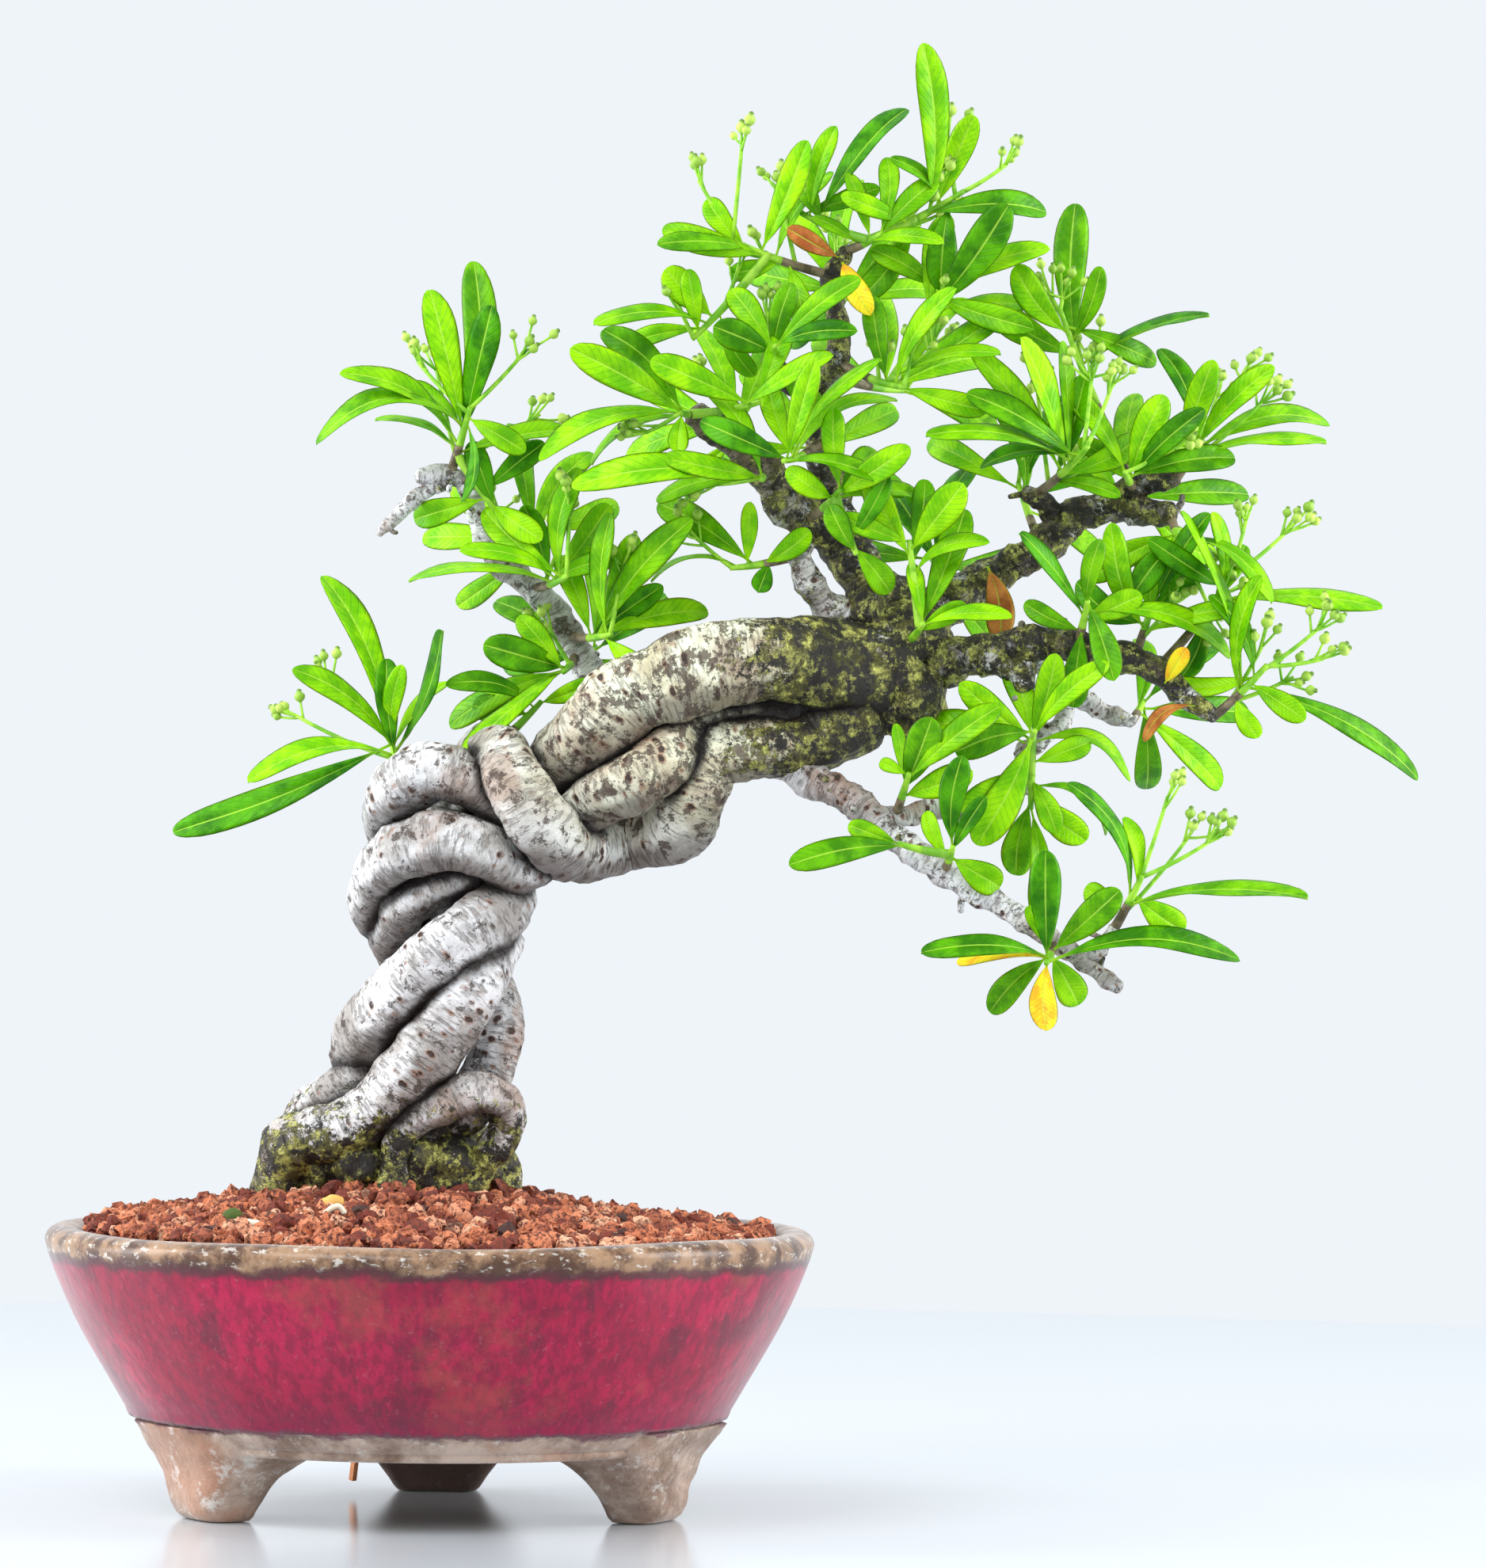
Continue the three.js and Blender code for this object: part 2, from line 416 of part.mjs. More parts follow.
// ---------- Leaves and buds ----------
// A tuft: where it sits, its leaves as [angle, length, width, arch], its buds as [angle, distance].
// Angles are degrees anticlockwise from +X as seen from the front. A fifth number on a leaf is how
// far it leans back for each millimetre of length. The first tuft grows from the named limb and the
// later ones grow from the first.
const sprays = [
  ['spray_left_top', 'branch_left', [
    [[4, -4, 235], [[87, 40, 10, 2], [103, 33, 9, 3], [77, 30, 9, -2], [143, 18, 5, 2], [148, 30, 6, 4],
      [186, 33, 6, 9], [158, 20, 3, 3], [268, 18, 4, -3], [14, 25, 6, 3], [-30, 15, 7, 2]],
    [[103, 26], [135, 22], [30, 27], [47, 23]]],
    [[11, -3, 225], [[196, 17, 8, 3], [-35, 14, 8, 2], [40, 18, 7, 2], [110, 16, 7, 1]], []]]],
  ['spray_left_mid', 'branch_left', [
    [[26, -4, 207], [[177, 33, 4, 3], [163, 22, 5, 4], [55, 22, 8, 2], [82, 25, 7, 2], [108, 18, 7, -2],
      [140, 24, 8, 3], [20, 18, 6, 3]], [[88, 23], [70, 20]]]]],
  ['spray_left_inner', 'branch_left', [
    [[36, -4, 195], [[52, 33, 9, 3], [72, 24, 8, 2], [14, 26, 8, 5], [-38, 19, 7, 3], [112, 20, 7, 3],
      [90, 27, 6, 2], [35, 20, 7, 2]], [[80, 21]]]]],
  ['spray_left_low', 'branch_left', [
    [[29, 2, 188], [[165, 19, 10, 3], [205, 29, 8, 4], [221, 31, 6, 3], [130, 16, 7, 2]], [[120, 14]]]]],
  ['spray_shoulder', 'trunk_stem_1', [
    [[-8, -6, 164], [[112, 43, 8, 4], [141, 28, 7, 3], [70, 29, 5, -3], [52, 19, 4, 2], [191, 32, 6, 5],
      [202, 53, 9, 4], [95, 22, 7, 3], [82, 17, 6, 2]], [[157, 31], [139, 25]]]]],
  ['spray_shoulder_top', 'trunk_stem_3', [
    [[21, 3, 178], [[172, 13, 8, 2], [165, 20, 6, 4], [100, 9, 4, 1], [20, 14, 6, 3]], []]]],
  ['spray_crown_left', 'branch_crown', [
    [[56, -8, 244], [[152, 28, 10, 2], [134, 26, 9, 2], [197, 34, 7, 6], [265, 9, 6, 0], [205, 24, 4, 4]],
      [[210, 14]]],
    [[69, -14, 246], [[157, 24, 9, 2], [70, 18, 7, 2], [30, 22, 6, 3]], []]]],
  ['spray_crown_low', 'branch_crown', [
    [[72, -12, 230], [[183, 42, 9, 7], [190, 24, 6, 3], [170, 22, 7, 4], [120, 24, 6, 3]], [[188, 18]]]]],
  ['spray_fork', 'branch_fork', [
    [[70, -6, 211], [[147, 26, 9, 3], [88, 14, 5, 1], [35, 13, 7, 2], [187, 20, 2, 4], [250, 7, 6, 0]],
      [[140, 16]]]]],
  ['spray_leader_left', 'leader', [
    [[73, -6, 280], [[167, 24, 8, 4], [68, 26, 8, 2], [60, 24, 5, 2], [178, 21, 6, 3], [195, 12, 6, 1],
      [130, 14, 7, 2], [-75, 18, 7, 2]], [[123, 22], [102, 23], [85, 27], [165, 16]]],
    [[60, -8, 265], [[181, 25, 5, 3], [191, 18, 6, 2], [136, 15, 9, 1], [100, 14, 6, 2], [-60, 16, 6, 2]],
      [[115, 13], [70, 14]]]]],
  ['spray_leader_mid', 'leader', [
    [[74, -12, 258], [[159, 14, 9, 2], [125, 17, 8, 2], [75, 16, 7, 2], [40, 24, 7, 3], [-50, 20, 8, 2],
      [10, 18, 6, 3]], [[95, 15]]]]],
  ['spray_top', 'leader', [
    [[95, -8, 283], [[108, 16, 5, 2], [44, 19, 7, 2], [0, 17, 5, 3], [86, 18, 6, 2], [150, 12, 4, 1]], []],
    [[83, -4, 288], [[53, 33, 7, 5], [75, 20, 6, 2], [120, 12, 6, 2], [20, 18, 6, 2]], []],
    [[108, -6, 290], [[92, 36, 9, 2], [68, 22, 8, -2], [4, 28, 8, 5], [140, 15, 4, 2], [235, 22, 8, -2],
      [265, 20, 9, 2], [160, 16, 6, 3]], [[98, 20], [52, 17], [33, 17], [18, 14]]]]],
  ['spray_upper_right', 'leader', [
    [[100, -16, 251], [[35, 32, 7, -2], [60, 24, 6, 2], [100, 20, 7, 2], [-15, 20, 7, 2], [15, 26, 4, 3]],
      [[75, 12], [95, 10]]],
    [[109, -6, 268], [[54, 28, 11, 2], [27, 28, 7, 3], [80, 24, 8, 2], [-20, 22, 8, 3], [10, 25, 6, 3],
      [150, 18, 7, 2]], [[60, 14]]]]],
  ['spray_centre', 'leader', [
    [[78, -18, 234], [[50, 29, 4, 3], [157, 21, 8, 5], [33, 27, 5, 5], [75, 22, 7, 2], [110, 18, 7, 2],
      [-10, 22, 5, 3]], []]]],
  ['spray_centre_low', 'branch_crown', [
    [[88, -18, 226], [[33, 19, 8, 4], [48, 13, 8, 3], [150, 12, 7, 3], [95, 18, 7, 2], [5, 20, 5, 3]], []],
    [[92, -20, 215], [[-50, 13, 8, 1], [120, 12, 7, 2], [60, 16, 6, 2]], []]]],
  ['spray_knob', 'crown_knob', [
    [[107, -18, 197], [[70, 29, 9, 3], [8, 20, 5, 3], [30, 12, 6, 2], [100, 14, 5, 1]], []],
    [[105, -18, 212], [[118, 21, 8, 3], [52, 18, 10, 2], [82, 20, 7, 2], [160, 16, 6, 2], [25, 18, 5, 3]],
      []]]],
  ['spray_right_tall', 'branch_right_upper', [
    [[141, -2, 261], [[90, 33, 10, 1], [70, 17, 6, 1], [150, 22, 9, 2], [130, 19, 9, 2], [22, 30, 3, 2],
      [-20, 22, 7, 5]], [[100, 15], [118, 13], [68, 12], [80, 9]]]]],
  ['spray_right_fan', 'branch_right_upper', [
    [[139, -10, 233], [[110, 30, 7, 2], [92, 28, 5, 1], [125, 34, 8, 2], [170, 33, 5, 4], [27, 20, 8, 3],
      [150, 28, 8, 3], [75, 24, 7, 2], [-175, 22, 5, 3], [-12, 15, 5, 2]],
    [[84, 24], [97, 30], [68, 22], [45, 16]]]]],
  ['spray_right_end', 'branch_right_upper', [
    [[153, -8, 231], [[68, 20, 9, 2], [12, 25, 8, 3], [45, 22, 7, 3], [125, 24, 7, 3], [140, 15, 6, 2]],
      [[30, 20]]]]],
  ['spray_far_top', 'branch_right_upper', [
    [[167, -2, 236], [[15, 32, 7, 5], [48, 24, 7, 2], [7, 30, 4, 2], [112, 23, 7, 4], [78, 22, 8, 2]],
      [[58, 24], [40, 27], [72, 17]]]]],
  ['spray_right_under', 'branch_right_upper', [
    [[164, -7, 219], [[208, 22, 8, 3], [-35, 25, 5, 4], [-100, 12, 5, 1], [230, 16, 8, 2]],
      [[-30, 17], [-65, 22]]]]],
  ['spray_right_mid', 'branch_right_lower', [
    [[143, -18, 199], [[128, 23, 5, 2], [-15, 34, 7, 6], [25, 14, 8, 2], [80, 15, 6, 2], [-95, 18, 8, 1],
      [-72, 18, 8, 1], [155, 14, 6, 2]], []]]],
  ['spray_right_mid_upper', 'branch_right_lower', [
    [[157, -10, 198], [[150, 18, 8, 3], [92, 18, 9, 2], [110, 24, 8, 3], [45, 16, 8, 2], [15, 24, 6, 3],
      [60, 24, 6, 2]], [[50, 16], [35, 20]]]]],
  ['spray_far_low', 'branch_right_lower', [
    [[177, -18, 183], [[-26, 44, 7, 5], [-35, 14, 7, 1], [108, 42, 4, 3], [117, 21, 6, 3], [82, 26, 5, 2],
      [185, 20, 6, -2], [-60, 10, 6, 1]], [[38, 22], [22, 20], [8, 18], [60, 20]]]]],
  ['spray_far_upper', 'branch_right_lower', [
    [[173, -8, 205], [[-1, 36, 6, 2], [95, 18, 5, 2], [60, 16, 6, 2], [150, 20, 7, 3], [-110, 16, 7, 2]],
      [[75, 19], [52, 14], [40, 22]]]]],
  ['spray_hanging', 'branch_under', [
    [[132, -14, 173], [[143, 20, 8, 2], [106, 18, 8, 2], [75, 20, 8, 2], [-117, 27, 11, 2], [-18, 24, 5, 6],
      [45, 22, 7, 3], [172, 26, 7, 3], [195, 18, 9, 2]], []],
    [[132, -14, 163], [[-30, 20, 4, 5], [-40, 16, 9, 2], [-65, 13, 7, 1], [-100, 17, 9, 1], [-150, 18, 8, 2],
      [-85, 24, 7, 2], [20, 14, 7, 2]], []]]],
  ['spray_droop_upper', 'branch_droop', [
    [[104, -22, 162], [[98, 14, 4, 1], [40, 26, 8, 3], [70, 17, 10, 1], [155, 7, 4, 1], [20, 16, 9, 1]],
      []]]],
  ['spray_droop_mid', 'branch_droop', [
    [[114, -26, 147], [[-30, 13, 9, 2], [60, 14, 5, 1], [115, 12, 5, 1], [85, 20, 8, 1]], []],
    [[104, -26, 149], [[189, 26, 8, 2], [160, 12, 6, 2]], []]]],
  ['spray_droop_tip', 'branch_droop', [
    [[136, -30, 126], [[177, 28, 6, 4], [182, 20, 5, 3], [224, 18, 8, 1], [-92, 15, 8, 0], [-60, 13, 9, 1],
      [92, 24, 9, 1], [43, 20, 9, 2], [2, 43, 7, 4], [120, 11, 5, 1]], []]]],
  ['spray_droop_fork', 'branch_droop', [
    [[153, -27, 137], [[118, 29, 5, 4], [-35, 14, 9, 1], [4, 38, 4, 4], [98, 16, 5, 2], [150, 10, 7, 1]],
      [[72, 25], [50, 28], [28, 23]]]]],
  ['spray_back_left', 'branch_left', [
    [[20, 16, 216], [[60, 26, 8, 2, 0.6], [100, 28, 7, 3, 0.5], [140, 24, 8, 3, 0.8], [180, 26, 8, 4, 0.5],
      [215, 20, 7, 2, 0.9], [20, 20, 8, 2, 0.8]], [[120, 20]]]]],
  ['spray_back_left_low', 'branch_left', [
    [[34, 22, 192], [[40, 22, 8, 2, 1], [95, 26, 7, 3, 0.8], [150, 26, 8, 3, 0.6], [190, 22, 8, 4, 0.8],
      [-20, 20, 7, 2, 1]], []]]],
  ['spray_back_crown', 'branch_crown', [
    [[66, 12, 242], [[70, 24, 8, 2, 0.9], [110, 26, 7, 3, 0.6], [150, 26, 8, 3, 0.8], [195, 26, 8, 4, 0.6],
      [230, 18, 7, 2, 1]], [[125, 18]]]]],
  ['spray_back_leader', 'leader', [
    [[84, 20, 238], [[30, 22, 8, 2, 1], [80, 26, 7, 3, 0.8], [130, 26, 8, 3, 0.9], [175, 22, 8, 4, 1],
      [-20, 22, 7, 2, 0.8]], []]]],
  ['spray_back_top', 'leader', [
    [[90, 11, 272], [[50, 26, 8, 2, 0.6], [85, 28, 7, 3, 0.5], [120, 26, 8, 3, 0.6], [165, 24, 8, 4, 0.8],
      [10, 24, 7, 2, 0.7], [220, 18, 7, 2, 1]], [[95, 20]]]]],
  ['spray_back_upper_right', 'leader', [
    [[101, 18, 252], [[20, 26, 8, 2, 0.6], [55, 28, 7, 3, 0.7], [95, 26, 8, 3, 0.8], [-20, 24, 8, 4, 0.8],
      [140, 20, 7, 2, 1]], [[60, 18]]]]],
  ['spray_back_knob', 'branch_right_upper', [
    [[112, 22, 212], [[10, 22, 8, 2, 0.9], [70, 26, 7, 3, 0.7], [120, 24, 8, 3, 0.9], [170, 22, 8, 4, 1],
      [-50, 20, 7, 2, 1]], []]]],
  ['spray_back_right', 'branch_right_upper', [
    [[131, 22, 228], [[25, 26, 8, 2, 0.7], [65, 28, 7, 3, 0.6], [105, 28, 8, 3, 0.7], [150, 24, 8, 4, 0.8],
      [-30, 22, 7, 2, 0.9]], [[85, 20]]]]],
  ['spray_back_right_end', 'branch_right_upper', [
    [[155, 16, 228], [[5, 28, 8, 2, 0.5], [45, 28, 7, 3, 0.6], [85, 26, 8, 3, 0.8], [-35, 24, 8, 4, 0.6],
      [130, 20, 7, 2, 0.9]], [[40, 20]]]]],
  ['spray_back_right_low', 'branch_under', [
    [[157, 13, 180], [[0, 26, 8, 2, 0.6], [40, 24, 7, 3, 0.8], [-40, 26, 8, 3, 0.5], [-85, 20, 8, 4, 0.7],
      [85, 18, 7, 2, 1]], []]]],
];

const LEAF_PITCH = 1.7;           // length of twig from each leaf of a tuft to the next
const FULLEST = 0.56;             // where along its length a leaf is widest
const BLADE_START = 0.1;          // from here on a leaf keeps clear of its own spray
const PETIOLE_WIDTH = 0.4;        // half the width of a leaf where it meets its twig
const WIDEST_LEAF = 10;
const TURNS_TO_TRY = [0, 8, -8, 16, -16, 24, -24, 34, -34, 46, -46, 60, -60];
const LEANS_TO_TRY = [0, -0.3, 0.3, -0.6, 0.6];

// A blade with a raised midrib, from its petiole (or from the share `from` of its length) to its tip.
function leafSolid(root, [angle, length, seen, arch, lean], turn, extraLean, grow = 0, from = 0) {
  const radians = THREE.MathUtils.degToRad(angle + turn);
  const reach = length * treeScale;
  const along = new THREE.Vector3(Math.cos(radians), lean + extraLean, Math.sin(radians));
  const span = reach * along.length() + grow;
  along.normalize();
  const width = Math.max(seen, Math.min(WIDEST_LEAF, 0.27 * length + 1.5)) * treeScale;
  const toViewer = new THREE.Vector3(0, -1, 0).addScaledVector(along, along.y).normalize();
  const roll = Math.acos(Math.min(1, seen * treeScale / width));
  const facing = [roll, -roll].map((r) => toViewer.clone().applyAxisAngle(along, r));
  const normal = facing[0].z >= facing[1].z ? facing[0] : facing[1];
  const side = new THREE.Vector3().crossVectors(along, normal);
  const ring = (t, halfWidth, thickness) => {
    const middle = root.clone().addScaledVector(along, span * t)
      .addScaledVector(normal, arch * treeScale * 4 * t * (1 - t));
    return [[halfWidth, -thickness / 2], [0, thickness / 2], [-halfWidth, -thickness / 2]]
      .map(([s, n]) => middle.clone().addScaledVector(side, s).addScaledVector(normal, n));
  };
  const thick = LEAF_THICKNESS + 2 * grow;
  const points = [
    ...ring(from, THREE.MathUtils.lerp(PETIOLE_WIDTH, width / 2, from / FULLEST) + grow, thick),
    ...ring(FULLEST, width / 2 + grow, thick),
    root.clone().addScaledVector(along, span),
  ];
  const faces = [[0, 1, 2]];
  for (let i = 0; i < 3; i += 1) {
    const next = (i + 1) % 3;
    faces.push([i, 3 + next, next], [i, 3 + i, 3 + next], [3 + i, 6, 3 + next]);
  }
  return solidOfFaces(points, faces);
}

function twigCurve(from, to) {
  const sag = new THREE.Vector3(0, 0, -0.06 * from.distanceTo(to));
  return new THREE.QuadraticBezierCurve3(from, from.clone().lerp(to, 0.5).add(sag), to);
}

// A stalk that swells into its head of buds, as one tapered body.
function budSolid(root, [angle, distance], grow = 0) {
  const radians = THREE.MathUtils.degToRad(angle);
  const reach = (distance + BUD_CLUSTER_RADIUS) * treeScale;
  const aim = new THREE.Vector3(Math.cos(radians), 0.1, Math.sin(radians));
  const end = root.clone().addScaledVector(aim, reach);
  const neck = 1 - 2 * BUD_CLUSTER_RADIUS / (distance + BUD_CLUSTER_RADIUS);
  const radii = [[0, 0.5], [neck, 0.5], [(1 + neck) / 2, BUD_CLUSTER_RADIUS], [1, BUD_CLUSTER_RADIUS * 0.4]];
  const line = new THREE.LineCurve3(root, end);
  const curve = new THREE.Curve();
  curve.getPoint = (t) => line.getPoint(radii[Math.round(t * 3)][0]);
  curve.getTangent = () => line.getTangent(0);
  return tube(curve, (t) => radii[Math.round(t * 3)][1] * treeScale, 3, 4, grow);
}

// How far each leaf leans towards or away from the viewer when its list doesn't say.
function naturalLean(tuftNumber, leafNumber) {
  return -0.1 + 0.42 * Math.sin(2.4 * leafNumber + 1.7 * tuftNumber + 0.5);
}

function nearestOn(limbPoints, target) {
  let best = null;
  limbPoints.forEach((points) => {
    const { curve, radiusAt } = limbCurve(points);
    for (let t = 0.04; t <= 1; t += 0.02) {
      const point = curve.getPoint(Math.min(t, 0.98));
      const distance = point.distanceTo(target) - radiusAt(t);
      if (!best || distance < best.distance) best = { point, distance, radius: radiusAt(t) };
    }
  });
  return best;
}

// ---------- Growing the tree ----------
const stemLines = Object.values(stems).map((points) => (
  new THREE.CatmullRomCurve3(points.map(([x, y, z]) => new THREE.Vector3(x, y, z)))
));

// Thicker stems wind further out round the middle of them all.
function wound(points) {
  return points.map(([x, y, z, radius], i) => {
    const share = i / (points.length - 1);
    const middle = new THREE.Vector3();
    stemLines.forEach((line) => middle.addScaledVector(line.getPoint(share), 1 / stemLines.length));
    const spot = new THREE.Vector3(x, y, z).sub(middle).multiplyScalar(STEM_GIRTH).add(middle);
    return [...spot.toArray(), radius];
  });
}

const limbPaths = Object.fromEntries(Object.entries(stems).map(([name, points]) => [name, [wound(points)]]));
Object.assign(limbPaths, branches);

const pieces = [];                // { name, solid, material } in the order they are made
const woodShapes = [];            // { solid, grown } of every limb, for what must stay clear of them

// What the stems run on into: a straight root from each stem's foot down into the mound.
function withRoot(points) {
  const [x, y, z, radius] = points[0];
  return [[x, y, z - ROOT_DEPTH / treeScale, radius * 0.9], ...points];
}

function limbSolid(paths, sides, grow = 0) {
  return joined(paths.map((points) => limb(points, sides, grow)));
}

function swellingsSolid(swellings, grow = 0) {
  return joined(swellings.map(([x, y, z, radius]) => {
    const centre = placed([x, y, z]);
    const ball = new THREE.IcosahedronGeometry(radius * STEM_GIRTH * treeScale + grow, 1);
    return solidOf(ball.translate(centre.x, centre.y, centre.z));
  }));
}

function growWood(name, solid, grown, material) {
  const trimmed = woodShapes.reduce((rest, earlier) => rest.subtract(earlier.grown), solid);
  pieces.push({ name, solid: mainBody(trimmed), material });
  woodShapes.push({ solid, grown });
}

growWood('root_flare', swellingsSolid(footSwellings), swellingsSolid(footSwellings, CLEARANCE), bark);
Object.keys(stems).forEach((name) => {
  const rooted = limbPaths[name].map(withRoot);
  growWood(name, limbSolid(rooted, STEM_SIDES), limbSolid(rooted, STEM_SIDES, CLEARANCE), bark);
});
growWood('root_loop', limb(rootLoop, BRANCH_SIDES), limb(rootLoop, BRANCH_SIDES, CLEARANCE), bark);
growWood('crown_knob', swellingsSolid(knobSwellings), swellingsSolid(knobSwellings, CLEARANCE), darkBark);
Object.entries(branches).forEach(([name, paths]) => {
  growWood(name, limbSolid(paths, BRANCH_SIDES), limbSolid(paths, BRANCH_SIDES, CLEARANCE), darkBark);
});
const woodGrown = joined(woodShapes.map((wood) => wood.grown));

// ---------- Soil ----------
function moundTop(x, y) {
  const away = Math.hypot(x - MOUND_SHIFT, y) / MOUND_SPREAD;
  const bump = Math.sin(x * 0.41 + 1.3) * Math.cos(y * 0.37) + Math.sin(x * 0.17 - y * 0.23 + 0.6);
  const edge = THREE.MathUtils.smoothstep(Math.hypot(x, y), 0, cavityRadius(soilEdge));
  return soilEdge + MOUND_HEIGHT * Math.exp(-away * away) + SOIL_BUMP * bump * (1 - edge);
}

function makeSoil() {
  const base = potFloorTop + CLEARANCE;
  const overScreen = screenTop + 2 * CLEARANCE + 2 * WIRE_RADIUS;
  const recess = screenSide * Math.SQRT1_2 + CLEARANCE;
  const edge = cavityRadius(soilEdge) - CLEARANCE;
  const wall = cavityWall.map(([radius, z]) => [radius - CLEARANCE, z]);
  const top = [0.84, 0.66, 0.48, 0.3, 0.14].map((share) => [edge * share, soilEdge + 1]);
  const profile = [
    [0, overScreen], [recess, overScreen], [recess, base], [floorCorner - CLEARANCE, base],
    ...wall, [edge, soilEdge], ...top, [0, soilEdge + 1],
  ];
  const outline = profile.map(([radius, height]) => new THREE.Vector2(radius, height));
  const geometry = new THREE.LatheGeometry(outline, LATHE_SEGMENTS).rotateX(Math.PI / 2);
  const position = geometry.attributes.position;
  for (let i = 0; i < position.count; i += 1) {
    if (position.getZ(i) > soilEdge + 0.5) {
      position.setZ(i, moundTop(position.getX(i), position.getY(i)));
    }
  }
  return solidOf(geometry);
}

const pot = makePot();
const screen = makeScreen();
const clip = wireSolid(clipPath(), WIRE_RADIUS);
const anchorGrown = wireSolid(anchorPath(), WIRE_RADIUS + CLEARANCE);
const anchor = wireSolid(anchorPath(), WIRE_RADIUS).subtract(woodGrown);
const soil = mainBody(makeSoil().subtract(woodGrown).subtract(anchorGrown));

pieces.unshift(
  { name: 'pot', solid: pot, material: glaze },
  { name: 'drainage_screen', solid: screen, material: meshPlastic },
  { name: 'screen_clip', solid: clip, material: copper },
  { name: 'anchor_wire', solid: mainBody(anchor), material: copper },
  { name: 'soil', solid: soil, material: soilEarth },
);

// ---------- Sprays ----------
// Twigs and buds of every spray come first, then the leaves, each turned until it is clear.
const ground = [pot, makeSoil()];

// The first leaf listed sits in the middle of its tuft, and the rest by turns further out and in.
function seatOf(item, items) {
  const step = Math.ceil(item / 2);
  return Math.floor(items / 2) + (item % 2 ? -step : step);
}

function tuftTwigs([, limbName, tufts]) {
  const firstBase = placed(tufts[0][0]);
  const paths = limbPaths[limbName];
  const knob = knobSwellings[1];
  return tufts.map(([base, allLeaves, buds], number) => {
    const root = placed(base);
    const leaves = allLeaves.filter(([, length]) => length >= SHORTEST_LEAF);
    const seat = paths ? nearestOn(paths, root) : { point: placed(knob), radius: knob[3] * treeScale };
    const from = number > 0 ? firstBase : seat.point;
    const buried = number > 0 ? 0 : seat.radius + 4 * CLEARANCE;
    const items = leaves.length + buds.length;
    const axis = root.clone().sub(from).normalize();
    const curve = twigCurve(from, root.addScaledVector(axis, LEAF_PITCH * treeScale * items / 2));
    const length = curve.getLength();
    const pitch = Math.min(LEAF_PITCH * treeScale, (length - buried) / (items + 0.5)) / length;
    const seats = Array.from({ length: items }, (_, item) => (
      curve.getPoint(1 - (seatOf(item, items) + 0.3) * pitch)
    ));
    return { curve, seats, leaves, buds };
  });
}

function twigsAndBuds(tufts, grow = 0) {
  const twigs = tufts.map(({ curve }) => {
    const steps = Math.max(1, Math.round(curve.getLength() / 16));
    return tube(curve, (t) => TWIG_RADIUS * (1.2 - 0.45 * t), steps, TWIG_SIDES, grow);
  });
  const buds = tufts.flatMap(({ seats, leaves, buds: list }) => (
    list.map((bud, number) => budSolid(seats[leaves.length + number], bud, grow))
  ));
  return joined([...twigs, ...buds]);
}

const grownSprays = sprays.map((spray) => {
  const tufts = tuftTwigs(spray);
  return { name: spray[0], tufts, solid: twigsAndBuds(tufts), grown: twigsAndBuds(tufts, CLEARANCE) };
});

grownSprays.forEach((spray, number) => {
  const earlier = grownSprays.slice(0, number).map((other) => other.grown);
  const trimmed = [woodGrown, ...earlier].reduce((rest, other) => rest.subtract(other), spray.solid);
  spray.solid = mainBody(trimmed);
});

grownSprays.forEach((spray, sprayNumber) => {
  const others = grownSprays.filter((other) => other !== spray).map((other) => other.solid);
  const obstacles = [woodGrown, ...ground, ...others];
  spray.tufts.forEach(({ seats, leaves }, tuftNumber) => {
    leaves.forEach((leaf, leafNumber) => {
      const base = seats[leafNumber];
      const [angle, length, seen, arch, lean = naturalLean(sprayNumber + tuftNumber, leafNumber)] = leaf;
      const shape = [angle, length, seen, arch, lean];
      const tries = LEANS_TO_TRY.flatMap((extra) => TURNS_TO_TRY.map((turn) => [turn, extra]));
      const free = tries.find(([turn, extra]) => {
        const room = leafSolid(base, shape, turn, extra, CLEARANCE);
        const blade = leafSolid(base, shape, turn, extra, 0, BLADE_START);
        return obstacles.every((obstacle) => !overlaps(room, obstacle)) && !overlaps(blade, spray.solid)
          && isSound(spray.solid.add(leafSolid(base, shape, turn, extra)));
      });
      if (free) spray.solid = spray.solid.add(leafSolid(base, shape, ...free));
    });
  });
  spray.solid = mainBody(spray.solid);
  pieces.push({ name: spray.name, solid: spray.solid, material: leafGreen });
});

// ---------- The assembly ----------
const assembly = new THREE.Group();
const box = new THREE.Box3();
pieces.forEach(({ name, solid, material }) => {
  const mesh = new THREE.Mesh(geometryOf(solid), material);
  mesh.name = name;
  assembly.add(mesh);
  box.expandByObject(mesh);
});
const middle = box.getCenter(new THREE.Vector3());
assembly.position.set(-middle.x, -middle.y, -box.min.z);

const model = new THREE.Group();
model.add(assembly);

export default model;
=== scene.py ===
"""A small firethorn bonsai in a glazed pot: bark, leaves, buds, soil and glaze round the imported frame."""

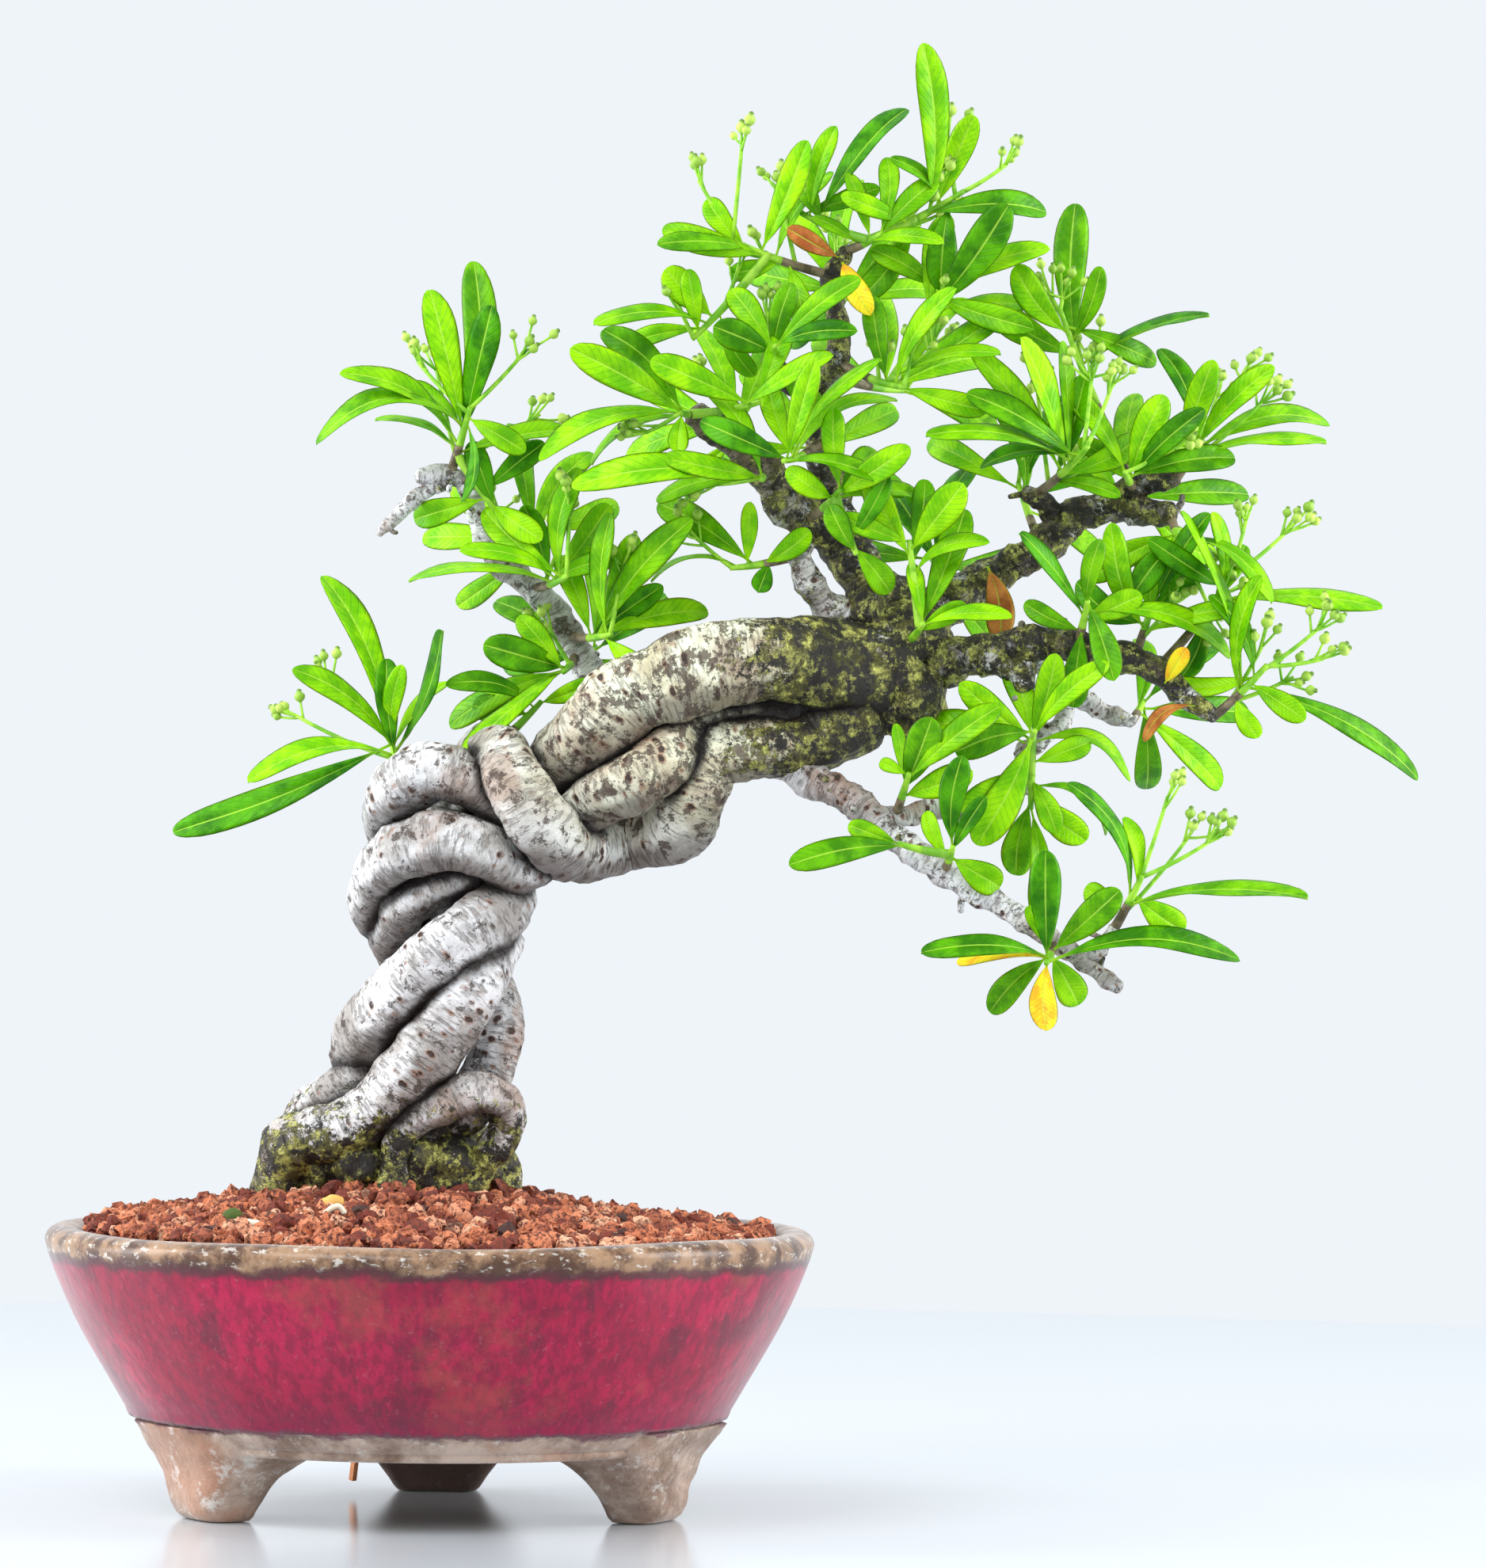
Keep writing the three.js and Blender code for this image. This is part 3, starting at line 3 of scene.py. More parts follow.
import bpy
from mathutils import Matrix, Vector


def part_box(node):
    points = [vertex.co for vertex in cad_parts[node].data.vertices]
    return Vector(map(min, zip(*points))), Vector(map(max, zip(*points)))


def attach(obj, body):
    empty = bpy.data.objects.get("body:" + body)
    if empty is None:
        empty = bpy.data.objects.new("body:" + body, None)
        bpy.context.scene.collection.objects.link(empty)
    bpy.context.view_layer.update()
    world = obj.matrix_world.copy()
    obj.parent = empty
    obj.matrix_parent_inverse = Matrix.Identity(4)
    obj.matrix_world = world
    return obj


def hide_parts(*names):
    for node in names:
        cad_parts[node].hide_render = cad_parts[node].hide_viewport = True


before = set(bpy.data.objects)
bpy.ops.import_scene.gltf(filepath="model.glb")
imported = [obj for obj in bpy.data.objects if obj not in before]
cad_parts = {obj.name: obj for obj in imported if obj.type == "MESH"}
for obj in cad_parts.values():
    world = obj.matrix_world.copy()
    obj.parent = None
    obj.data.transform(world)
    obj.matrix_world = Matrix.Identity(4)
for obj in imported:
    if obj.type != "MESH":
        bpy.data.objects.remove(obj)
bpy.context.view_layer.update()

import math

import bpy
import numpy as np
from mathutils import Vector

MM = 0.001

# ---------- Sizes shared with the frame (millimetres) ----------
pot_low, pot_high = (np.array(corner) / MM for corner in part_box("pot"))
AXIS = np.array([(pot_low[0] + pot_high[0]) / 2, (pot_low[1] + pot_high[1]) / 2, 0.0])
RIM_RADIUS = (pot_high[0] - pot_low[0]) / 2
RIM_TOP = pot_high[2]
# The waist is where the glaze ends and the bare skirt with its feet begins.
WAIST_RADIUS = 67.2
WAIST_HEIGHT = 23.0
SKIRT_RADIUS = 61.0
FOOT_HEIGHT = 15.5
POT_WALL = 8.5
POT_FLOOR = 8.0
DRAIN_RADIUS = 12.0
# Degrees about the axis, counted from the camera's side.
FOOT_TURNS = (68, 180, 300)
SOIL_EDGE = RIM_TOP - 1.5
MOUND_HEIGHT = 11.5
MOUND_SPREAD = 53.0
MOUND_SHIFT = -8.0
TREE_FOOT = SOIL_EDGE + MOUND_HEIGHT
# The height of the soil under the trunk that the tree's points below are drawn for.
DRAWN_SOIL = 73.0
# How far the stems go down into the soil.
ROOT_DEPTH = 14.0
# The most room between two leaves on a twig.
LEAF_PITCH = 1.7
WIDEST_LEAF = 10.0


# ---------- The tree as drawn: points [x, y, z, radius], measured from the pot axis ----------
STEMS = {
 "trunk_stem_1": [[12, 7, 73, 6.7], [7, 12, 82, 7.1], [-4, 13, 89, 7.6], [-15, 7, 96, 7.7],
  [-14, -2, 105, 7.8], [-7, -10, 114, 8], [3, -13, 124, 8], [11, -11, 131, 7.8], [15, -2, 138, 7.6],
  [12, 8, 145, 7.1], [3, 13, 148, 7.1], [-7, 10, 149, 6.7], [-10, 1, 154, 6.7], [-7, -8, 160, 6.7],
  [0, -12, 164, 6.7], [8, -12, 162, 6.6], [16, -8, 157, 6.3], [23, -5, 152, 5.8], [28, -6, 153, 5.8],
  [34, -10, 157, 6.2], [41, -14, 161, 6.4], [50, -14, 166, 6.6], [58, -6, 173, 6.8], [71, -4, 177, 7.3],
  [87, 0, 180, 7.8]],
 "trunk_stem_2": [[-33, -5, 74, 5.5], [-30, -7, 81, 6.5], [-20, -10, 84, 6.5], [-12, -11, 89, 6.7],
  [-5, -13, 97, 7.6], [3, -13, 108, 7.7], [9, -11, 118, 7.6], [12, -2, 127, 7.1], [8, 8, 134, 7.1],
  [-2, 13, 135, 7.1], [-12, 7, 133, 6.7], [-13, -2, 139, 6.7], [-7, -10, 145, 6.7], [2, -14, 148, 6.7],
  [10, -15, 147, 6.6], [18, -10, 143, 6], [26, -1, 147, 5.8], [36, 9, 152, 6.7], [46, 14, 161, 7.5],
  [58, 16, 171, 7.8], [74, 13, 180, 7.8], [89, 8, 184, 7.8]],
 "trunk_stem_3": [[-6, -8, 73, 5], [-3, -7, 83, 5.5], [6, -4, 90, 6.3], [12, -2, 98, 6.6],
  [14, 0, 107, 6.6], [11, 7, 116, 6.7], [2, 12, 123, 6.7], [-8, 8, 126, 6.3], [-8, -2, 132, 5],
  [-2, -8, 137, 5], [7, -7, 141, 5.5], [14, 2, 146, 5.9], [15, 11, 155, 5.9], [9, 9, 164, 5.7],
  [12, -2, 169, 6.3], [16, -13, 166, 6.8], [20, -19, 159, 7], [25, -18, 151, 6.8], [31, -7, 147, 6.6],
  [42, 2, 150, 6.9], [54, -4, 153, 7.6], [58, -7, 160, 7.3], [61, -8, 168, 7.3], [71, -8, 170, 7.3],
  [84, -6, 172, 7.3], [94, -4, 178, 7.8]],
 "trunk_stem_4": [[-35, 3, 73, 5], [-30, 2, 84, 5.5], [-23, -1, 92, 5], [-14, -2, 98, 5], [-6, 7, 105, 6.3],
  [2, 13, 115, 6.7], [7, 15, 126, 6.7], [2, 17, 140, 6.7], [2, 17, 153, 6.7], [10, 17, 162, 6.7],
  [21, 13, 161, 6.7], [27, 4, 160, 6.9], [28, -5, 167, 7.8], [35, -12, 173, 8.3], [44, -14, 182, 8.8],
  [57, -14, 187, 9.5], [73, -11, 189, 9.7], [87, -6, 188, 10.2], [96, -2, 187, 10.7]],
}

ROOT_LOOP = [[-8, -14, 71, 3.5], [-6, -14, 84, 3.8], [2, -15, 90, 4.2], [9, -14, 93, 4.2],
 [15, -12, 92, 4.2], [17, -9, 86, 4.2], [13, -9, 79, 4.4], [8, -8, 72, 4.6]]

FLARE = [[-27, -3, 74, 8], [-16, -6, 76, 9], [-4, -7, 76, 9.5], [4, -5, 76, 9.5], [7, 4, 76, 9],
 [0, 5, 76, 11], [-14, 5, 76, 9]]

KNOB = [[98, 0, 187, 13], [103, 2, 193, 12], [99, 3, 200, 10], [105, -2, 182, 9]]

BRANCHES = {
 "branch_left": [[[43, 16, 168, 4.6], [43, 16, 177, 4.5], [36, 14, 184, 3.4], [30, 12, 193, 3.2],
  [25, 9, 202, 3], [18, 6, 208, 2.9], [12, 4, 213, 2.8], [9, 2, 221, 2.6], [6, 0, 228, 2.5],
  [2, -1, 230, 2.4], [-4, -2, 230, 2.2]], [[2, -1, 230, 2], [-1, -2, 228, 1.9], [-5, -3, 225, 1.6],
  [-9, -4, 221, 1.4], [-13, -5, 217, 1]]],
 "branch_crown": [[[99, 4, 198, 6.5], [96, 4, 208, 5.5], [88, 4, 218, 5], [79, 2, 223, 4.5],
  [73, 0, 231, 4.2], [67, -2, 238, 3.6], [62, -4, 240, 3], [57, -6, 244, 2.6]]],
 "branch_fork": [[[92, -1, 194, 4.6], [89, -2, 199, 4.2], [84, -4, 205, 3.4], [80, -5, 213, 2.8]]],
 "leader": [[[96, 6, 208, 4.5], [91, 8, 219, 4.2], [87, 8, 230, 3.8], [85, 6, 240, 3.5], [86, 4, 249, 3],
  [89, 2, 258, 2.6], [88, 0, 266, 2.3], [87, -2, 275, 2], [90, -3, 281, 1.8]], [[86, 5, 247, 2.8],
  [81, 2, 251, 2.6], [77, 0, 253, 2.4], [73, -2, 257, 2.1]]],
 "branch_right_upper": [[[102, 5, 190, 6], [105, 6, 196, 5.5], [115, 10, 204, 4.5], [128, 10, 212, 4],
  [136, 8, 217, 3.8], [142, 6, 223, 3.6], [149, 4, 225, 3.4], [156, 2, 224, 3], [163, 0, 223, 2.6]],
  [[139, 6, 220, 3], [135, 4, 226, 2.4], [131, 2, 228, 1.8]], [[147, 5, 224, 3], [151, 3, 227, 2.8],
  [157, 2, 230, 2.5], [164, 0, 231, 2]]],
 "branch_right_lower": [[[103, 2, 189, 6], [113, -4, 190, 4.8], [124, -8, 192, 4.2], [134, -10, 194, 3.8],
  [146, -12, 192, 3.4], [158, -14, 189, 3.2], [165, -15, 183, 2.6], [172, -16, 178, 1.8]],
  [[122, -8, 191, 3.6], [127, -11, 189, 3.4], [129, -12, 187, 3.2], [130, -13, 184, 2.4]]],
 "branch_droop": [[[77, -4, 169, 5], [84, -8, 163, 3.8], [92, -12, 159, 3.4], [100, -16, 152, 3.2],
  [107, -18, 147, 3], [116, -20, 141, 2.8], [125, -22, 136, 2.5], [134, -24, 130, 2.2], [143, -24, 124, 2],
  [151, -25, 118, 1.6]], [[98, -15, 154, 2.6], [106, -12, 156, 2.4], [114, -10, 157, 2.2],
  [120, -9, 155, 2], [125, -8, 152, 1.6]], [[143, -24, 124, 1.6], [147, -24, 127, 1.5],
  [150, -25, 131, 1.3]]],
 "branch_under": [[[132, -10, 193, 3.2], [138, 2, 187, 2.8], [146, 6, 181, 2.2], [155, 8, 177, 1.6]],
  [[140, 3, 186, 2.2], [140, 1, 178, 2], [135, 0, 173, 2], [131, -1, 170, 2], [132, -2, 161, 1.2]]],
}

# Each spray: name, limb, and its tufts: base point, leaves and bud heads. A leaf is [angle seen from the
# front, length, seen width, arch], and at the back its lean as well. A bud head is [angle, distance].
SPRAYS = [
 ["spray_left_top", "branch_left", [[[4, -4, 235], [[87, 40, 10, 2], [103, 33, 9, 3], [77, 30, 9, -2],
  [143, 18, 5, 2], [148, 30, 6, 4], [186, 33, 6, 9], [158, 20, 3, 3], [268, 18, 4, -3], [14, 25, 6, 3],
  [-30, 15, 7, 2]], [[103, 26], [135, 22], [30, 27], [47, 23]]], [[11, -3, 225], [[196, 17, 8, 3],
  [-35, 14, 8, 2], [40, 18, 7, 2], [110, 16, 7, 1]], []]]],
 ["spray_left_mid", "branch_left", [[[26, -4, 207], [[177, 33, 4, 3], [163, 22, 5, 4], [55, 22, 8, 2],
  [82, 25, 7, 2], [108, 18, 7, -2], [140, 24, 8, 3], [20, 18, 6, 3]], [[88, 23], [70, 20]]]]],
 ["spray_left_inner", "branch_left", [[[36, -4, 195], [[52, 33, 9, 3], [72, 24, 8, 2], [14, 26, 8, 5],
  [-38, 19, 7, 3], [112, 20, 7, 3], [90, 27, 6, 2], [35, 20, 7, 2]], [[80, 21]]]]],
 ["spray_left_low", "branch_left", [[[29, 2, 188], [[165, 19, 10, 3], [205, 29, 8, 4], [221, 31, 6, 3],
  [130, 16, 7, 2]], [[120, 14]]]]],
 ["spray_shoulder", "trunk_stem_1", [[[-8, -6, 164], [[112, 43, 8, 4], [141, 28, 7, 3], [70, 29, 5, -3],
  [52, 19, 4, 2], [191, 32, 6, 5], [202, 53, 9, 4], [95, 22, 7, 3], [82, 17, 6, 2]], [[157, 31],
  [139, 25]]]]],
 ["spray_shoulder_top", "trunk_stem_3", [[[21, 3, 178], [[172, 13, 8, 2], [165, 20, 6, 4], [100, 9, 4, 1],
  [20, 14, 6, 3]], []]]],
 ["spray_crown_left", "branch_crown", [[[56, -8, 244], [[152, 28, 10, 2], [134, 26, 9, 2], [197, 34, 7, 6],
  [265, 9, 6, 0], [205, 24, 4, 4]], [[210, 14]]], [[69, -14, 246], [[157, 24, 9, 2], [70, 18, 7, 2],
  [30, 22, 6, 3]], []]]],
 ["spray_crown_low", "branch_crown", [[[72, -12, 230], [[183, 42, 9, 7], [190, 24, 6, 3], [170, 22, 7, 4],
  [120, 24, 6, 3]], [[188, 18]]]]],
 ["spray_fork", "branch_fork", [[[70, -6, 211], [[147, 26, 9, 3], [88, 14, 5, 1], [35, 13, 7, 2],
  [187, 20, 2, 4], [250, 7, 6, 0]], [[140, 16]]]]],
 ["spray_leader_left", "leader", [[[73, -6, 280], [[167, 24, 8, 4], [68, 26, 8, 2], [60, 24, 5, 2],
  [178, 21, 6, 3], [195, 12, 6, 1], [130, 14, 7, 2], [-75, 18, 7, 2]], [[123, 22], [102, 23], [85, 27],
  [165, 16]]], [[60, -8, 265], [[181, 25, 5, 3], [191, 18, 6, 2], [136, 15, 9, 1], [100, 14, 6, 2],
  [-60, 16, 6, 2]], [[115, 13], [70, 14]]]]],
 ["spray_leader_mid", "leader", [[[74, -12, 258], [[159, 14, 9, 2], [125, 17, 8, 2], [75, 16, 7, 2],
  [40, 24, 7, 3], [-50, 20, 8, 2], [10, 18, 6, 3]], [[95, 15]]]]],
 ["spray_top", "leader", [[[95, -8, 283], [[108, 16, 5, 2], [44, 19, 7, 2], [0, 17, 5, 3], [86, 18, 6, 2],
  [150, 12, 4, 1]], []], [[83, -4, 288], [[53, 33, 7, 5], [75, 20, 6, 2], [120, 12, 6, 2], [20, 18, 6, 2]],
  []], [[108, -6, 290], [[92, 36, 9, 2], [68, 22, 8, -2], [4, 28, 8, 5], [140, 15, 4, 2], [235, 22, 8, -2],
  [265, 20, 9, 2], [160, 16, 6, 3]], [[98, 20], [52, 17], [33, 17], [18, 14]]]]],
 ["spray_upper_right", "leader", [[[100, -16, 251], [[35, 32, 7, -2], [60, 24, 6, 2], [100, 20, 7, 2],
  [-15, 20, 7, 2], [15, 26, 4, 3]], [[75, 12], [95, 10]]], [[109, -6, 268], [[54, 28, 11, 2],
  [27, 28, 7, 3], [80, 24, 8, 2], [-20, 22, 8, 3], [10, 25, 6, 3], [150, 18, 7, 2]], [[60, 14]]]]],
 ["spray_centre", "leader", [[[78, -18, 234], [[50, 29, 4, 3], [157, 21, 8, 5], [33, 27, 5, 5],
  [75, 22, 7, 2], [110, 18, 7, 2], [-10, 22, 5, 3]], []]]],
 ["spray_centre_low", "branch_crown", [[[88, -18, 226], [[33, 19, 8, 4], [48, 13, 8, 3], [150, 12, 7, 3],
  [95, 18, 7, 2], [5, 20, 5, 3]], []], [[92, -20, 215], [[-50, 13, 8, 1], [120, 12, 7, 2], [60, 16, 6, 2]],
  []]]],
 ["spray_knob", "crown_knob", [[[107, -18, 197], [[70, 29, 9, 3], [8, 20, 5, 3], [30, 12, 6, 2],
  [100, 14, 5, 1]], []], [[105, -18, 212], [[118, 21, 8, 3], [52, 18, 10, 2], [82, 20, 7, 2],
  [160, 16, 6, 2], [25, 18, 5, 3]], []]]],
 ["spray_right_tall", "branch_right_upper", [[[141, -2, 261], [[90, 33, 10, 1], [70, 17, 6, 1],
  [150, 22, 9, 2], [130, 19, 9, 2], [22, 30, 3, 2], [-20, 22, 7, 5]], [[100, 15], [118, 13], [68, 12],
  [80, 9]]]]],
 ["spray_right_fan", "branch_right_upper", [[[139, -10, 233], [[110, 30, 7, 2], [92, 28, 5, 1],
  [125, 34, 8, 2], [170, 33, 5, 4], [27, 20, 8, 3], [150, 28, 8, 3], [75, 24, 7, 2], [-175, 22, 5, 3],
  [-12, 15, 5, 2]], [[84, 24], [97, 30], [68, 22], [45, 16]]]]],
 ["spray_right_end", "branch_right_upper", [[[153, -8, 231], [[68, 20, 9, 2], [12, 25, 8, 3],
  [45, 22, 7, 3], [125, 24, 7, 3], [140, 15, 6, 2]], [[30, 20]]]]],
 ["spray_far_top", "branch_right_upper", [[[167, -2, 236], [[15, 32, 7, 5], [48, 24, 7, 2], [7, 30, 4, 2],
  [112, 23, 7, 4], [78, 22, 8, 2]], [[58, 24], [40, 27], [72, 17]]]]],
 ["spray_right_under", "branch_right_upper", [[[164, -7, 219], [[208, 22, 8, 3], [-35, 25, 5, 4],
  [-100, 12, 5, 1], [230, 16, 8, 2]], [[-30, 17], [-65, 22]]]]],
 ["spray_right_mid", "branch_right_lower", [[[143, -18, 199], [[128, 23, 5, 2], [-15, 34, 7, 6],
  [25, 14, 8, 2], [80, 15, 6, 2], [-95, 18, 8, 1], [-72, 18, 8, 1], [155, 14, 6, 2]], []]]],
 ["spray_right_mid_upper", "branch_right_lower", [[[157, -10, 198], [[150, 18, 8, 3], [92, 18, 9, 2],
  [110, 24, 8, 3], [45, 16, 8, 2], [15, 24, 6, 3], [60, 24, 6, 2]], [[50, 16], [35, 20]]]]],
 ["spray_far_low", "branch_right_lower", [[[177, -18, 183], [[-26, 44, 7, 5], [-35, 14, 7, 1],
  [108, 42, 4, 3], [117, 21, 6, 3], [82, 26, 5, 2], [185, 20, 6, -2], [-60, 10, 6, 1]], [[38, 22], [22, 20],
  [8, 18], [60, 20]]]]],
 ["spray_far_upper", "branch_right_lower", [[[173, -8, 205], [[-1, 36, 6, 2], [95, 18, 5, 2],
  [60, 16, 6, 2], [150, 20, 7, 3], [-110, 16, 7, 2]], [[75, 19], [52, 14], [40, 22]]]]],
 ["spray_hanging", "branch_under", [[[132, -14, 173], [[143, 20, 8, 2], [106, 18, 8, 2], [75, 20, 8, 2],
  [-117, 27, 11, 2], [-18, 24, 5, 6], [45, 22, 7, 3], [172, 26, 7, 3], [195, 18, 9, 2]], []],
  [[132, -14, 163], [[-30, 20, 4, 5], [-40, 16, 9, 2], [-65, 13, 7, 1], [-100, 17, 9, 1], [-150, 18, 8, 2],
  [-85, 24, 7, 2], [20, 14, 7, 2]], []]]],
 ["spray_droop_upper", "branch_droop", [[[104, -22, 162], [[98, 14, 4, 1], [40, 26, 8, 3], [70, 17, 10, 1],
  [155, 7, 4, 1], [20, 16, 9, 1]], []]]],
 ["spray_droop_mid", "branch_droop", [[[114, -26, 147], [[-30, 13, 9, 2], [60, 14, 5, 1], [115, 12, 5, 1],
  [85, 20, 8, 1]], []], [[104, -26, 149], [[189, 26, 8, 2], [160, 12, 6, 2]], []]]],
 ["spray_droop_tip", "branch_droop", [[[136, -30, 126], [[177, 28, 6, 4], [182, 20, 5, 3], [224, 18, 8, 1],
  [-92, 15, 8, 0], [-60, 13, 9, 1], [92, 24, 9, 1], [43, 20, 9, 2], [2, 43, 7, 4], [120, 11, 5, 1]], []]]],
 ["spray_droop_fork", "branch_droop", [[[153, -27, 137], [[118, 29, 5, 4], [-35, 14, 9, 1], [4, 38, 4, 4],
  [98, 16, 5, 2], [150, 10, 7, 1]], [[72, 25], [50, 28], [28, 23]]]]],
 ["spray_back_left", "branch_left", [[[20, 16, 216], [[60, 26, 8, 2, 0.6], [100, 28, 7, 3, 0.5],
  [140, 24, 8, 3, 0.8], [180, 26, 8, 4, 0.5], [215, 20, 7, 2, 0.9], [20, 20, 8, 2, 0.8]], [[120, 20]]]]],
 ["spray_back_left_low", "branch_left", [[[34, 22, 192], [[40, 22, 8, 2, 1], [95, 26, 7, 3, 0.8],
  [150, 26, 8, 3, 0.6], [190, 22, 8, 4, 0.8], [-20, 20, 7, 2, 1]], []]]],
 ["spray_back_crown", "branch_crown", [[[66, 12, 242], [[70, 24, 8, 2, 0.9], [110, 26, 7, 3, 0.6],
  [150, 26, 8, 3, 0.8], [195, 26, 8, 4, 0.6], [230, 18, 7, 2, 1]], [[125, 18]]]]],
 ["spray_back_leader", "leader", [[[84, 20, 238], [[30, 22, 8, 2, 1], [80, 26, 7, 3, 0.8],
  [130, 26, 8, 3, 0.9], [175, 22, 8, 4, 1], [-20, 22, 7, 2, 0.8]], []]]],
 ["spray_back_top", "leader", [[[90, 11, 272], [[50, 26, 8, 2, 0.6], [85, 28, 7, 3, 0.5],
  [120, 26, 8, 3, 0.6], [165, 24, 8, 4, 0.8], [10, 24, 7, 2, 0.7], [220, 18, 7, 2, 1]], [[95, 20]]]]],
 ["spray_back_upper_right", "leader", [[[101, 18, 252], [[20, 26, 8, 2, 0.6], [55, 28, 7, 3, 0.7],
  [95, 26, 8, 3, 0.8], [-20, 24, 8, 4, 0.8], [140, 20, 7, 2, 1]], [[60, 18]]]]],
 ["spray_back_knob", "branch_right_upper", [[[112, 22, 212], [[10, 22, 8, 2, 0.9], [70, 26, 7, 3, 0.7],
  [120, 24, 8, 3, 0.9], [170, 22, 8, 4, 1], [-50, 20, 7, 2, 1]], []]]],
 ["spray_back_right", "branch_right_upper", [[[131, 22, 228], [[25, 26, 8, 2, 0.7], [65, 28, 7, 3, 0.6],
  [105, 28, 8, 3, 0.7], [150, 24, 8, 4, 0.8], [-30, 22, 7, 2, 0.9]], [[85, 20]]]]],
 ["spray_back_right_end", "branch_right_upper", [[[155, 16, 228], [[5, 28, 8, 2, 0.5], [45, 28, 7, 3, 0.6],
  [85, 26, 8, 3, 0.8], [-35, 24, 8, 4, 0.6], [130, 20, 7, 2, 0.9]], [[40, 20]]]]],
 ["spray_back_right_low", "branch_under", [[[157, 13, 180], [[0, 26, 8, 2, 0.6], [40, 24, 7, 3, 0.8],
  [-40, 26, 8, 3, 0.5], [-85, 20, 8, 4, 0.7], [85, 18, 7, 2, 1]], []]]],
]

# Old leaves: spray, base point from the pot axis, [angle, length, seen width, arch], lean and age.
OLD_LEAVES = [
    ("spray_knob", (122.5, 5.8, 211.5), [-80, 17, 8.5, 2], -0.45, 1.6),
    ("spray_far_low", (168, -17.2, 180.3), [213, 14, 4, 3], -0.2, 1.6),
    ("spray_far_low", (161, -17, 185), [60, 9, 5.5, 1], -0.5, 1.2),
    ("spray_leader_mid", (89.2, -4.3, 278.6), [-64, 14, 7, 2], -0.8, 1.25),
    ("spray_leader_mid", (88.8, -4.3, 279.2), [154, 13, 6, 1], -0.7, 1.65),
]

# Ages given one by one, from fresh (0) and deep green (0.8) to yellow (1.2): (spray, tuft, leaf) to age.
LEAF_AGES = {
    ("spray_droop_tip", 0, 1): 1.2, ("spray_droop_tip", 0, 3): 1.2, ("spray_knob", 0, 1): 0.1,
    ("spray_hanging", 0, 3): 0.2, ("spray_droop_tip", 0, 5): 0.8,
    ("spray_droop_tip", 0, 0): 0.7, ("spray_droop_tip", 0, 7): 0.7,
}


# ---------- Building meshes ----------
def unit(vector):
    return vector / max(np.linalg.norm(vector), 1e-9)


def wavy(points, size, seed, waves=9):
    """Smooth unit-strength noise over points: sine waves about size apart in chance directions."""
    chance = np.random.default_rng(seed)
    total = np.zeros(len(points))
    for _ in range(waves):
        direction = unit(chance.normal(size=3))
        turn = 2 * math.pi / (size * chance.uniform(0.7, 1.4))
        total += np.sin(points @ direction * turn + chance.uniform(0, 2 * math.pi))
    return total / math.sqrt(waves / 2)


def smoothstep(low, high, value):
    share = np.clip((value - low) / (high - low), 0, 1)
    return share * share * (3 - 2 * share)


class Shape:
    """Points, faces, a material number for each face, and two sets of numbers for each point:
    place, which each material reads in its own way, and grain, which lies along and round a limb."""

    def __init__(self):
        self.points, self.faces, self.slots, self.place, self.grain = [], [], [], [], []
        self.count = 0

    def add(self, points, faces, slot=0, place=(0, 0, 0, 0), grain=None):
        points = np.asarray(points, dtype=float)
        place = np.broadcast_to(np.asarray(place, dtype=float), (len(points), 4))
        self.points.append(points)
        self.place.append(place)
        self.grain.append(points if grain is None else grain)
        self.faces.extend(tuple(i + self.count for i in face) for face in faces)
        self.slots.extend([slot] * len(faces))
        self.count += len(points)

    def piece(self, name, materials, nodes, smooth=True):
        mesh = bpy.data.meshes.new(name)
        points = np.concatenate(self.points) * MM
        mesh.from_pydata(points.tolist(), [], self.faces)
        for material in materials:
            mesh.materials.append(material)
        mesh.polygons.foreach_set("material_index", self.slots)
        mesh.polygons.foreach_set("use_smooth", [smooth] * len(mesh.polygons))
        place = mesh.attributes.new("place", "FLOAT_COLOR", "POINT")
        place.data.foreach_set("color", np.concatenate(self.place).ravel())
        grain = mesh.attributes.new("grain", "FLOAT_VECTOR", "POINT")
        grain.data.foreach_set("vector", (np.concatenate(self.grain) * MM).ravel())
        mesh.update()
        obj = bpy.data.objects.new(name, mesh)
        bpy.context.scene.collection.objects.link(obj)
        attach(obj, "root")
        if nodes:
            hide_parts(*nodes)


def round_angles(count):
    return np.arange(count) / count * 2 * math.pi


def on_ball(angle, turn):
    """A point of the unit ball, at an angle up from its lowest point and a turn about the vertical."""
    return math.sin(angle) * math.cos(turn), math.sin(angle) * math.sin(turn), -math.cos(angle)


def turned_out(faces):
    return [tuple(reversed(face)) for face in faces]


def ring_faces(rings, sides, closed_ends=True):
    faces = []
    for ring in range(rings - 1):
        low = ring * sides
        for side in range(sides):
            after = (side + 1) % sides
            faces.append((low + side, low + after, low + sides + after, low + sides + side))
    if closed_ends:
        faces.append(tuple(range(sides - 1, -1, -1)))
        faces.append(tuple((rings - 1) * sides + side for side in range(sides)))
    return faces


